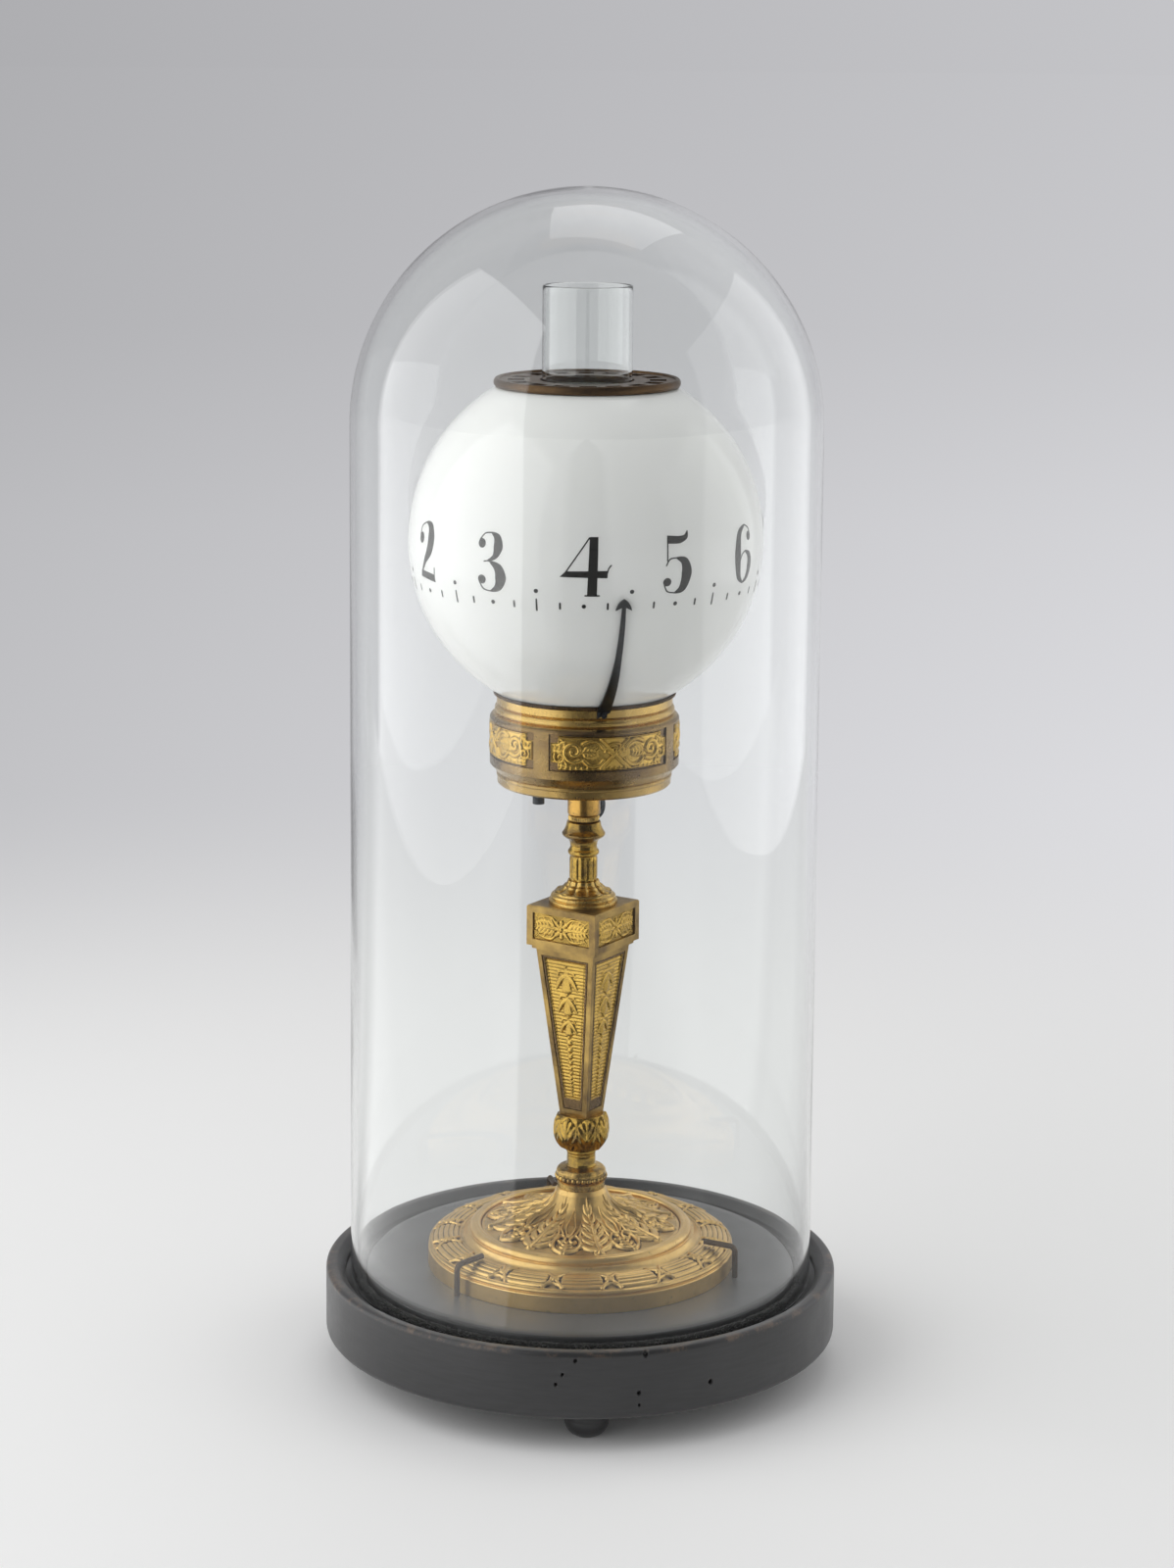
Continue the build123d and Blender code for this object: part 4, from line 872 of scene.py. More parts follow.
def soft_box(name, side, distance, height, width, tall, radiance):
    """Rectangular soft box at an angle round the clock (0 is behind the camera's side), turned to the clock."""
    light = bpy.data.lights.new(name, "AREA")
    light.shape = "RECTANGLE"
    light.size, light.size_y = width, tall
    light.energy = radiance * math.pi * width * tall
    obj = bpy.data.objects.new(name, light)
    bpy.context.scene.collection.objects.link(obj)
    angle = math.radians(side) + sizes().camera_side
    obj.location = (distance * math.sin(angle), -distance * math.cos(angle), height)
    aim = Vector((0, 0, height if tall > 1.1 * height else 0.25)) - obj.location
    obj.rotation_euler = aim.to_track_quat("-Z", "Y").to_euler()
    return obj


class LAMPCLOCK_OT_studio(bpy.types.Operator):
    """Set up the camera, the floor, the lamps and the world"""
    bl_idname = "lamp_clock.studio"
    bl_label = "Studio"

    def execute(self, context):
        s = sizes()
        lens = bpy.data.cameras.new("camera")
        lens.sensor_width, lens.lens = 36, s.camera_lens
        lens.shift_x, lens.shift_y = 0.0006, -0.1625
        lens.clip_start, lens.clip_end = 0.05, 60
        camera = bpy.data.objects.new("camera", lens)
        context.scene.collection.objects.link(camera)
        camera.location = (s.camera_reach * math.sin(s.camera_side), -s.camera_reach * math.cos(s.camera_side),
                           s.camera_height)
        look = Matrix.Rotation(s.camera_side, 4, "Z") @ Matrix.Rotation(math.pi / 2 - s.camera_tilt, 4, "X")
        camera.rotation_euler = (look @ Matrix.Rotation(s.camera_roll, 4, "Z")).to_euler()
        context.scene.camera = camera
        context.scene.view_settings.view_transform = "Standard"

        bm = bmesh.new()
        bmesh.ops.create_circle(bm, cap_ends=True, segments=96, radius=30.0)
        mesh = bpy.data.meshes.new("floor")
        bm.to_mesh(mesh)
        bm.free()
        floor = bpy.data.objects.new("floor", mesh)
        context.scene.collection.objects.link(floor)
        floor.data.materials.append(floor_finish())
        studio_world()
        soft_box("left_box", LEFT_SIDE, LEFT_AWAY, 0.95, 1.7, 1.9, s.left_light)
        soft_box("right_box", RIGHT_SIDE, RIGHT_AWAY, 0.6, 1.5, 1.2, s.right_light)
        soft_box("top_box", 170, 1.2, 2.3, 1.2, 1.2, 1.2).visible_glossy = False
        return {"FINISHED"}


# The base and the dome.

WORM_HOLES = ((-102.9, -3.0, 0.75), (-105.6, -8.4, 0.6), (-107.0, -12.3, 0.65), (-89.3, -16.1, 0.8),
              (-89.2, -20.8, 0.55), (-72.9, -15.6, 0.9), (-87.9, -1.4, 1.1))


def worm_eaten(angle, r, z, s):
    """Worm holes in the wall of the base: angle, height and radius of each."""
    rise = np.zeros_like(r)
    for degrees, height, radius in WORM_HOLES:
        off = (angle - math.radians(degrees) + math.pi) % ALL_ROUND - math.pi
        far = np.hypot(off * r, (z - height) * 0.85)
        rise = np.minimum(rise, -1.6 * np.clip((radius - far) / 0.3, 0, 1))
    return np.where(r > 98, rise, 0)


class LAMPCLOCK_OT_base(bpy.types.Operator):
    """Dress the wood base and its feet"""
    bl_idname = "lamp_clock.base"
    bl_label = "Wood base"

    def execute(self, context):
        low = level("wood_base", False)
        rim = (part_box("wood_base")[1].x) / MM
        platform, wall = 83.8, rim - 7.5
        side = [(rim, z) for z in np.linspace(low + 2.6, -2.2, 50)]
        outer = [(12, low), (rim - 2.0, low), (rim - 0.6, low + 0.6, rim, low + 2.0)] + side + [
            (rim, -1.8), (rim - 0.5, -0.5, rim - 1.8, 0), (wall + 3.5, 0), (wall + 2.8, -0.5), (wall, -2.9),
            (wall, -5.0), (platform, -5.0), (platform, -0.6), (platform - 0.6, 0), (2.5, 0)]
        inner = [(2.5, low + 9), (12, low + 9)]
        near = [math.radians(degrees) + k * 0.0021 for degrees, height, radius in WORM_HOLES for k in range(-7, 8)]
        base = lathe("base_turning", outer, inner, around=300, step=4.0, relief=worm_eaten, reach=1,
                     extra_angles=near)
        dress(base, "stand", "ebonised_wood", "wood_base")
        coat("ebonised_wood", "bun_feet")
        return {"FINISHED"}


def chenille(name, ring, wire, low):
    """A ring of chenille: a soft core with tufts all round it, pressed flat where it lies."""
    s = sizes()
    rng = np.random.default_rng(7)
    around, count = 720, 14
    turn = np.arange(around) / around * ALL_ROUND
    ring_turn = np.arange(count) / count * ALL_ROUND
    body = wire * 0.8 + 0.12 * np.sin(37 * turn[:, None] + 2 * ring_turn) + rng.normal(0, 0.06, (around, count))
    reach = ring + body * np.cos(ring_turn)
    height = np.maximum(low + wire + body * np.sin(ring_turn), low + 0.02)
    verts = np.stack([reach * np.cos(turn[:, None]), reach * np.sin(turn[:, None]), height + BASE_TOP], 2)
    verts = (verts.reshape(-1, 3) * MM).tolist()
    faces = [(i * count + j, ((i + 1) % around) * count + j, ((i + 1) % around) * count + (j + 1) % count,
              i * count + (j + 1) % count) for i in range(around) for j in range(count)]
    for _ in range(s.chenille_tufts * 8):
        a, b = rng.uniform(0, ALL_ROUND), rng.uniform(-0.5, math.pi + 0.5)
        lean, twist = rng.normal(0, 0.35), rng.normal(0, 0.02)
        long = wire * 0.75 + rng.uniform(0.35, 1.0) * s.chenille_reach / MM * 0.5
        tip_b = b + lean
        points = []
        for r, at_b, at_a in ((wire * 0.7, b - 0.12, a - 0.0011), (wire * 0.7, b + 0.12, a - 0.0011),
                              (wire * 0.7, b, a + 0.0016), (long, tip_b, a + twist)):
            rr = ring + r * math.cos(at_b)
            z = max(low + wire + r * math.sin(at_b), low + 0.05)
            points.append((rr * math.cos(at_a) * MM, rr * math.sin(at_a) * MM, (z + BASE_TOP) * MM))
        n = len(verts)
        verts += points
        faces += [(n, n + 2, n + 1), (n, n + 1, n + 3), (n + 1, n + 2, n + 3), (n + 2, n, n + 3)]
    return make_object(name, verts, faces)


class LAMPCLOCK_OT_dome(bpy.types.Operator):
    """Blow the glass dome and lay the chenille ring at its foot"""
    bl_idname = "lamp_clock.dome"
    bl_label = "Dome"

    def execute(self, context):
        low, top = level("glass_dome", False), level("glass_dome")
        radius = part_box("glass_dome")[1].x / MM
        wall, turn = 2.4, math.sqrt(0.5)
        centre, inner = top - radius, radius - 2.4
        outline = [(inner + 0.5, low), (radius - 0.5, low), (radius, low + 0.5), (radius, centre),
                   (radius * turn, centre + radius * turn, 0.0, top)]
        hollow = [(0.0, top - wall), (inner * turn, centre + inner * turn, inner, centre), (inner, low + 0.5)]
        dome = lathe("blown_dome", outline, hollow, around=288, step=2.4)
        dress(dome, "dome", "clear_glass", "glass_dome")
        ring = chenille("chenille_ring", 85.75, 1.9, -5.0)
        dress(ring, "stand", "chenille", "dome_cord")
        return {"FINISHED"}


# The stand, from the brass foot up to the tube under the drum.

def wrap(angle, count, offset=0.0):
    """Angle from the middle of the nearest of count equal sectors."""
    pitch = ALL_ROUND / count
    return (angle - offset + pitch / 2) % pitch - pitch / 2


def bound_reeds(angle, r, z, s):
    """Reeds round the sloping band of the foot, tied at even places by a crossed ribbon with a floret on it."""
    band = (z > 8.3) & (r > 46.9) & (r < 58.7)
    across = r - 53.0
    along = wrap(angle, sizes().foot_bindings) * 53.0
    inside = np.clip((4.9 - np.abs(across)) / 0.3, 0, 1)
    between = np.clip((np.abs(along) - 2.6) / 0.5, 0, 1)
    rise = 0.6 * np.abs(np.sin((across + 4.9) / 9.8 * 5 * math.pi)) ** 0.6 * inside * between
    for hand in (-1, 1):
        off = across * 0.72 - hand * along
        ribbon = np.clip((0.85 - np.abs(off)) / 0.3, 0, 1) * (np.abs(along) < 3.9) * (np.abs(across) < 5.3)
        rise = np.maximum(rise, ribbon * (0.95 - 0.25 * np.abs(off)))
    for k in range(5):
        a = ALL_ROUND * k / 5 + 0.4
        bead(rise, along, across, (1.2 * math.cos(a), 1.2 * math.sin(a)), 0.8, 1.25)
    bead(rise, along, across, (0, 0), 0.6, 1.5)
    for side in (-1, 1):
        stroke(rise, along, across, [(-3.2, side * 4.2), (0, side * 2.7), (3.2, side * 4.2)], 0.45, 0.8)
    edge = 0.55 * np.exp(-((np.abs(across) - 5.4) / 0.3) ** 2)
    return np.where(band, np.maximum(rise, edge), 0)


def cone_carving(angle, r, z, s):
    """Acanthus leaves and scrolls between them, climbing the cone."""
    field = np.zeros_like(r)
    count = sizes().cone_leaves
    flat = (z > 13.9) & (z < 29.6)
    v = (s - 1.6) * 0.8
    u = wrap(angle, count) * 25.0
    leaf(field, u, v, (0, 1.5), (0, 26.0), 5.6, 1.15, pairs=6)
    both(field, u, v, [(0.6, 3), (4.2, 6), (5.6, 10.5), (4.4, 14.5), (2.6, 13.2), (3.2, 11.4)], 0.55, 0.8)
    w = wrap(angle, count, math.pi / count) * 25.0
    both(field, w, v, [(0.4, 1.2), (3.4, 4.2), (4.4, 8.2), (2.6, 11.0), (0.9, 9.4), (1.8, 7.4), (2.9, 8.0)], 0.6, 0.95)
    both(field, w, v, [(0.3, 10.5), (2.2, 15.0), (1.2, 20.0), (0.0, 23.0)], 0.5, 0.8, ends=(1, 0.6))
    both(field, w, v, [(3.9, 5.0), (5.4, 6.4), (6.3, 8.8)], 0.65, 0.75, ends=(0.7, 0.3), swell=0.5)
    both(field, w, v, [(4.3, 8.5), (5.7, 10.6), (6.0, 13.2)], 0.55, 0.7, ends=(0.7, 0.3), swell=0.5)
    both(field, w, v, [(2.4, 12.0), (4.2, 14.2), (4.6, 17.0)], 0.55, 0.7, ends=(0.7, 0.3), swell=0.5)
    leaf(field, w, v, (0, 2.0), (0, 9.0), 2.4, 0.9, pairs=4)
    bead(field, w, v, (0, 11.2), 0.8, 0.9)
    shallow = np.clip((r - 6.0) / 14.0, 0.4, 1.0)
    ends = np.clip((v - 0.2) / 1.2, 0, 1) * np.clip((27.5 - v) / 2.0, 0, 1)
    return np.where(flat, 1.45 * field * shallow * ends, 0)


def ball_leaves(angle, r, z, s):
    """Overlapping leaves closed round the ball, each with a midrib, veins and curled tips."""
    count = sizes().ball_leaves
    v = (z - level("leaf_ball", False)) / (level("leaf_ball") - level("leaf_ball", False))
    pitch = 9.5 * ALL_ROUND / count
    field = np.zeros_like(r)
    for shift, lift in ((math.pi / count, 0.5), (0.0, 0.95)):
        u = wrap(angle, count, shift) * 9.5
        half = pitch * 0.62 * np.sqrt(np.clip(np.sin(np.pi * np.clip(v * 0.86 + 0.16, 0, 1)), 0, 1))
        half *= 1 + 0.10 * np.sin(v * 26)
        blade = np.clip((half - np.abs(u)) / 0.35, 0, 1)
        dome = 1 - 0.5 * (np.abs(u) / np.maximum(half, 0.1)) ** 2
        veins = 0.13 * np.cos((np.abs(u) * 1.2 - v * 9) * 2.3) * (np.abs(u) > 0.35)
        rib = 0.25 * np.exp(-(u / 0.28) ** 2)
        field = np.maximum(field, blade * (lift * dome + veins + rib - 0.25))
    ends = np.clip(v / 0.08, 0, 1) * np.clip((1 - v) / 0.05, 0, 1)
    return field * ends - 0.15 * ends


def beads_at(height, count, size, rise):
    """A row of beads round a turned piece."""
    def relief(angle, r, z, s):
        field = np.zeros_like(r)
        bead(field, wrap(angle, count) * r, z, (0, height), size, rise)
        return np.where(r > 4, field, 0)
    return relief


class LAMPCLOCK_OT_foot(bpy.types.Operator):
    """Chase the brass foot, its cone, the collar, the neck and the leaf ball, and give the clips their finish"""
    bl_idname = "lamp_clock.foot"
    bl_label = "Brass foot"

    def execute(self, context):
        s = sizes()
        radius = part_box("brass_foot")[1].x / MM
        outer = [(radius, 0.0), (radius, 6.4), (radius - 0.9, 6.9), (radius - 0.2, 7.7, radius - 1.6, 8.4),
                 (53.0, 10.7, 47.4, 10.3), (46.0, 10.9, 44.5, 12.6), (43.4, 12.7), (42.9, 14.9, 41.0, 15.5),
                 (39.6, 15.4, 39.2, 14.4), (39.2, 13.2)]
        inner = [(37.5, 13.2), (37.5, 11.9), (41.6, 11.2), (45.2, 8.7), (56.2, 6.4), (radius - 2, 5.4), (radius - 2, 0)]
        foot = lathe("chased_foot", outer, inner, around=1280, step=0.3, relief=bound_reeds, reach=5,
                     phase=math.radians(-102), shade_ground=0.22)
        dress(foot, "stand", "gilt_brass", "brass_foot")

        low = level("foot_cone", False)
        outer = [(38.9, low), (38.9, 14.3), (28.6, 16.2, 19.4, 20.0), (12.6, 24.0, 10.0, 28.6), (9.3, 30.0)]
        inner = [(2.5, 30.0), (2.5, 27.4), (7.6, 26.4), (10.4, 22.9, 16.4, 19.2), (26.8, 14.8, 37.6, low)]
        cone = lathe("carved_cone", outer, inner, around=1120, step=0.27, relief=cone_carving, reach=5,
                     phase=math.radians(-102), shade_ground=0.3)
        dress(cone, "stand", "gilt_brass", "foot_cone")

        low = level("beaded_collar", False)
        outer = [(2.5, low), (9.3, low), (9.3, low + 2.5), (9.75, low + 3.3), (9.75, low + 5.3), (9.7, low + 5.7),
                 (9.3, low + 7.3, 7.5, low + 8.1), (6.3, low + 8.5), (2.5, low + 8.5)]
        collar = lathe("collar_turning", outer, [(2.5, low + 4)], around=480, step=0.22,
                       relief=beads_at(low + 4.3, s.collar_beads, 0.92, 0.6))
        dress(collar, "stand", "aged_brass", "beaded_collar")

        low = level("lower_neck", False)
        outer = [(2.5, low), (6.0, low), (5.95, low + 0.5), (5.6, low + 0.9), (5.6, low + 3.9), (5.35, low + 4.1),
                 (5.6, low + 4.3), (5.6, low + 5.4), (5.85, low + 5.7), (5.85, low + 6.7), (2.5, low + 6.7)]
        dress(lathe("neck_turning", outer, [(2.5, low + 2)], around=160, step=0.25), "stand", "aged_brass", "lower_neck",
              look="olive_brass")

        low = level("leaf_ball", False)
        outer = [(2.5, low), (5.85, low), (9.2, low + 3.4, 10.35, low + 8.2), (10.0, low + 11.6, 8.75, low + 14.5),
                 (2.5, low + 14.5)]
        ball = lathe("leafy_ball", outer, [(2.5, low + 8)], around=640, step=0.16, relief=ball_leaves, reach=3,
                     phase=math.radians(-102))
        dress(ball, "stand", "gilt_brass", "leaf_ball", look="olive_brass")
        coat("clip_wire", "foot_clips")
        return {"FINISHED"}


def relief_slab(name, corners, draw, thick, places, step=0.2):
    """A carved panel: a closed slab whose front follows draw(u, v), which gives heights and where it is brown."""
    (x0, x1), (y0, y1) = corners
    xs = np.linspace(x0, x1, max(2, int((x1 - x0) / step)))
    ys = np.linspace(y0, y1, max(2, int((y1 - y0) / step)))
    u, v = np.meshgrid(xs, ys, indexing="ij")
    field, brown = draw(u, v)
    hollow = np.maximum(depth_of(field, 3), 0.42 * ground(field, 0.3)) * (1 - brown)
    inside = (len(xs), len(ys))
    front = [places(u[i, j], v[i, j], thick + field[i, j]) for i in range(inside[0]) for j in range(inside[1])]
    back = [places(u[i, j], v[i, j], 0.0) for i in range(inside[0]) for j in range(inside[1])]
    count, rows = len(front), inside[1]
    faces = []
    for i in range(inside[0] - 1):
        for j in range(rows - 1):
            a, b, c, d = i * rows + j, (i + 1) * rows + j, (i + 1) * rows + j + 1, i * rows + j + 1
            faces += [(a, b, c, d), (a + count, d + count, c + count, b + count)]
    for i in range(inside[0] - 1):
        for j in (0, rows - 1):
            a, b = i * rows + j, (i + 1) * rows + j
            faces.append((a, a + count, b + count, b) if j == 0 else (a, b, b + count, a + count))
    for j in range(rows - 1):
        for i in (0, inside[0] - 1):
            a, b = i * rows + j, i * rows + j + 1
            faces.append((a, b, b + count, a + count) if i == 0 else (a, a + count, b + count, b))
    behind = np.zeros(count)
    return tidy_mesh(make_object(name, front + back, faces, np.concatenate([hollow.reshape(-1), behind]),
                                 np.concatenate([brown.reshape(-1), behind])), 1e-7)


def husk(field, u, v, centre, size):
    """A bell flower seen from the side, with a leaf at each hand."""
    x, y = centre
    stroke(field, u, v, [(x, y + size), (x, y - size * 0.9)], size * 0.62, 0.9, ends=(0.35, 1.0))
    for hand in (-1, 1):
        stroke(field, u, v, [(x, y + size * 0.5), (x + hand * size * 0.7, y - 0.1 * size),
                             (x + hand * size * 1.25, y - size * 1.15)], size * 0.34, 0.85, ends=(0.6, 0.3), swell=0.5)
        stroke(field, u, v, [(x, y + size * 0.8), (x + hand * size * 0.8, y + size * 0.75),
                             (x + hand * size * 1.1, y + size * 0.1)], size * 0.22, 0.6, ends=(0.7, 0.3), swell=0.4)


def shaft_garland(u, v):
    """Ribbed ground with three husks and a string of lessening beads."""
    field = 0.26 * np.abs(np.sin(v * math.pi / 1.4)) ** 0.6
    edge_reach = 4.1 + (v + 31) / 62 * 6.8
    for k, (height, size) in enumerate(((22.4, 4.0), (12.6, 3.6), (3.6, 3.1))):
        husk(field, u, v, (0, height), size)
        bead(field, u, v, (0, height - size * 1.55), 0.75, 0.85)
        bead(field, u, v, (0, height + size * 1.3), 0.55, 0.7)
    y, size = -3.6, 1.35
    while y > -26:
        bead(field, u, v, (0, y), size, 0.85)
        for hand in (-1, 1):
            stroke(field, u, v, [(hand * size * 0.6, y + size), (hand * (size + 0.9), y - size * 0.2)], size * 0.36,
                   0.55, ends=(0.9, 0.3))
        y -= size * 2.25
        size = max(0.45, size * 0.91)
    return field * np.clip((edge_reach - np.abs(u)) / 0.5 + 0.6, 0.25, 1)


def cap_spray(u, v):
    """Central flower with leafy sprays to both sides."""
    field = np.zeros_like(u)
    floret(field, u, v, (0, 0), 3.0, 0.8, petals=8)
    for hand in (-1, 1):
        w = hand * u
        leaf(field, w, v, (3.0, 0), (12.4, 0.2), 3.2, 0.75, pairs=5)
        stroke(field, w, v, [(2.2, 2.0), (4.5, 4.2), (7.5, 4.3), (10.6, 3.4)], 0.7, 0.6, ends=(1, 0.3))
        stroke(field, w, v, [(2.2, -2.0), (4.5, -4.2), (7.5, -4.3), (10.6, -3.4)], 0.7, 0.6, ends=(1, 0.3))
        for x in (4.6, 7.6, 10.6):
            for up in (-1, 1):
                stroke(field, w, v * up, [(x - 1.2, 1.2), (x, 3.0), (x + 1.4, 4.4)], 0.7, 0.62, ends=(0.8, 0.3))
    return field, np.zeros_like(u)


class LAMPCLOCK_OT_column(bpy.types.Operator):
    """Carve the panels of the shaft and its capital block, and turn the pieces over them"""
    bl_idname = "lamp_clock.column"
    bl_label = "Column"

    def execute(self, context):
        s = sizes()
        coat("brown_brass", "column_shaft", "column_cap")
        low, top = level("column_shaft", False), level("column_shaft")
        side_low, side_top = 12.2, 26.2
        height = top - low
        lean = math.atan2((side_top - side_low) / 2, height)
        slant = height / math.cos(lean) / 2
        sunk = 0.8
        middle = (side_low + side_top) / 4
        reach = slant - 2.75
        for quarter in range(4):
            turn = Matrix.Rotation(math.radians(45 + 90 * quarter), 3, "Z")

            def on_face(x, y, lift):
                share = (y + slant) / (2 * slant)
                half = (side_low + (side_top - side_low) * share) / 2 - 2.35
                out = middle + y * math.sin(lean) - (sunk - lift + 0.05) * math.cos(lean)
                up = low + height / 2 + y * math.cos(lean) + (sunk - lift) * math.sin(lean)
                point = turn @ Vector((x / 8.6 * half, -out, up + BASE_TOP))
                return tuple(point * MM)

            def garland(u, v):
                share = (v + slant) / (2 * slant)
                half = (side_low + (side_top - side_low) * share) / 2 - 2.35
                from_edge = np.minimum(half - np.abs(u) / 8.6 * half, np.minimum(reach - v, v + reach - 3.4))
                strip = np.clip((1.0 - from_edge) / 0.2, 0, 1)
                groove = np.exp(-((from_edge - 1.45) / 0.3) ** 2)
                field = np.where(strip > 0, 0.62 * strip, 0.05 + shaft_garland(u / 8.6 * half, v) * 0.95)
                return field - 0.22 * groove * (strip == 0), strip

            panel = relief_slab(f"shaft_panel_{quarter + 1}", ((-8.6, 8.6), (-reach, reach)), garland, 0.12, on_face,
                                0.17)
            dress(panel, "stand", "gilt_brass", look="panel_brass")

        low, top = level("column_cap", False) + 1.5, level("column_cap")
        for quarter in range(4):
            turn = Matrix.Rotation(math.radians(45 + 90 * quarter), 3, "Z")

            def on_block(x, y, lift):
                out = 31.6 / 2 - 0.8 + lift
                return tuple(turn @ Vector((x, -out, (low + top) / 2 + y + BASE_TOP)) * MM)

            panel = relief_slab(f"cap_panel_{quarter + 1}", ((-12.9, 12.9), (-5.2, 5.2)), cap_spray, 0.1, on_block, 0.16)
            dress(panel, "stand", "gilt_brass", look="panel_brass")

        low = level("neck_ring", False)
        outer = [(2.5, low), (13.3, low), (13.3, low + 1.5), (12.4, low + 1.9), (12.6, low + 3.0, 11.6, low + 3.7),
                 (11.0, low + 4.7), (8.6, low + 5.3, 7.2, low + 6.6), (6.2, low + 7.4, 5.7, low + 8.7), (2.5, low + 8.7)]

        def small_leaves(angle, r, z, s_):
            """Broad reeds that run down the slope and end in a ring of leaf tips."""
            count = s.neck_reeds * 2
            reeds_ = 0.55 * np.abs(np.cos(count * angle / 4)) ** 0.6
            tips = 10.2 + 0.9 * np.abs(np.cos(count * angle / 4))
            slope = (z > low + 4.4) & (r > 5.2)
            return np.where(slope, reeds_ * np.clip((tips - r) / 0.5, 0, 1), 0)

        dress(lathe("leafed_ring", outer, [(2.5, low + 4)], around=480, step=0.2, relief=small_leaves), "stand",
              "aged_brass", "neck_ring")

        low = level("reeded_neck", False)
        outer = [(2.5, low), (5.24, low), (5.24, low + 10.2), (5.76, low + 10.6), (6.1, low + 11.5, 5.76, low + 12.4),
                 (5.4, low + 12.8), (5.0, low + 14.2), (2.5, low + 14.2)]

        def reeds(angle, r, z, s_):
            shape = 0.5 * np.abs(np.cos(s.neck_reeds * angle / 2)) ** 0.55 - 0.25
            soft = np.clip((z - low - 0.6) / 1.2, 0, 1) * np.clip((low + 10.0 - z) / 1.2, 0, 1)
            return shape * soft * (r > 4)

        dress(lathe("reeded_turning", outer, [(2.5, low + 7)], around=360, step=0.3, relief=reeds), "stand",
              "aged_brass", "reeded_neck", look="olive_brass")

        low = level("knop", False)
        outer = [(2.5, low), (5.3, low), (5.55, low + 1.5, 6.7, low + 2.8), (7.3, low + 3.1), (8.3, low + 4.0),
                 (8.45, low + 4.8), (7.35, low + 6.5, 6.7, low + 8.5), (6.5, low + 9.4), (2.5, low + 9.4)]
        dress(lathe("knop_turning", outer, [(2.5, low + 5)], around=200, step=0.3), "stand", "aged_brass", "knop",
              look="olive_brass")

        low = level("knurled_nut", False)
        outer = [(2.5, low), (5.4, low), (5.77, low + 0.4), (5.77, low + 2.5), (5.4, low + 2.9), (2.5, low + 2.9)]

        def knurl(angle, r, z, s_):
            soft = np.clip((z - low - 0.4) / 0.4, 0, 1) * np.clip((low + 2.5 - z) / 0.4, 0, 1)
            return 0.3 * np.abs(np.cos(s.nut_knurls * angle / 2)) * soft * (r > 5)

        dress(lathe("knurled_turning", outer, [(2.5, low + 1.5)], around=640, step=0.22, relief=knurl), "stand",
              "aged_brass", "knurled_nut")
        coat("warm_brass", "upper_tube")
        coat("steel", "tie_rod", "rod_nut")
        return {"FINISHED"}


# The dial on the globe: numerals and marks as thin fired enamel.

def pen(u, v, points, widths):
    """Inside-positive field of a line whose half width swells and thins along it."""
    path = smooth_path(points, 10) if len(points) > 2 else np.array(points, float)
    known = np.linspace(0, 1, len(points))
    wide = np.interp(np.linspace(0, 1, len(path)), known, widths)
    best = np.full(u.shape, -9.0)
    for k in range(len(path) - 1):
        (ax, ay), (bx, by) = path[k], path[k + 1]
        dx, dy = bx - ax, by - ay
        t = np.clip(((u - ax) * dx + (v - ay) * dy) / max(dx * dx + dy * dy, 1e-12), 0, 1)
        far = np.hypot(u - ax - dx * t, v - ay - dy * t)
        best = np.maximum(best, wide[k] + (wide[k + 1] - wide[k]) * t - far)
    return best


def disc(u, v, x, y, radius, tall=1.0):
    return radius - np.hypot(u - x, (v - y) / tall)


def patch(u, v, corners):
    """Inside-positive field of a convex patch with its corners anticlockwise."""
    best = np.full(u.shape, 9.0)
    for k, (ax, ay) in enumerate(corners):
        bx, by = corners[(k + 1) % len(corners)]
        long = math.hypot(bx - ax, by - ay)
        best = np.minimum(best, ((bx - ax) * (v - ay) - (by - ay) * (u - ax)) / long)
    return best


HAIR = 0.011


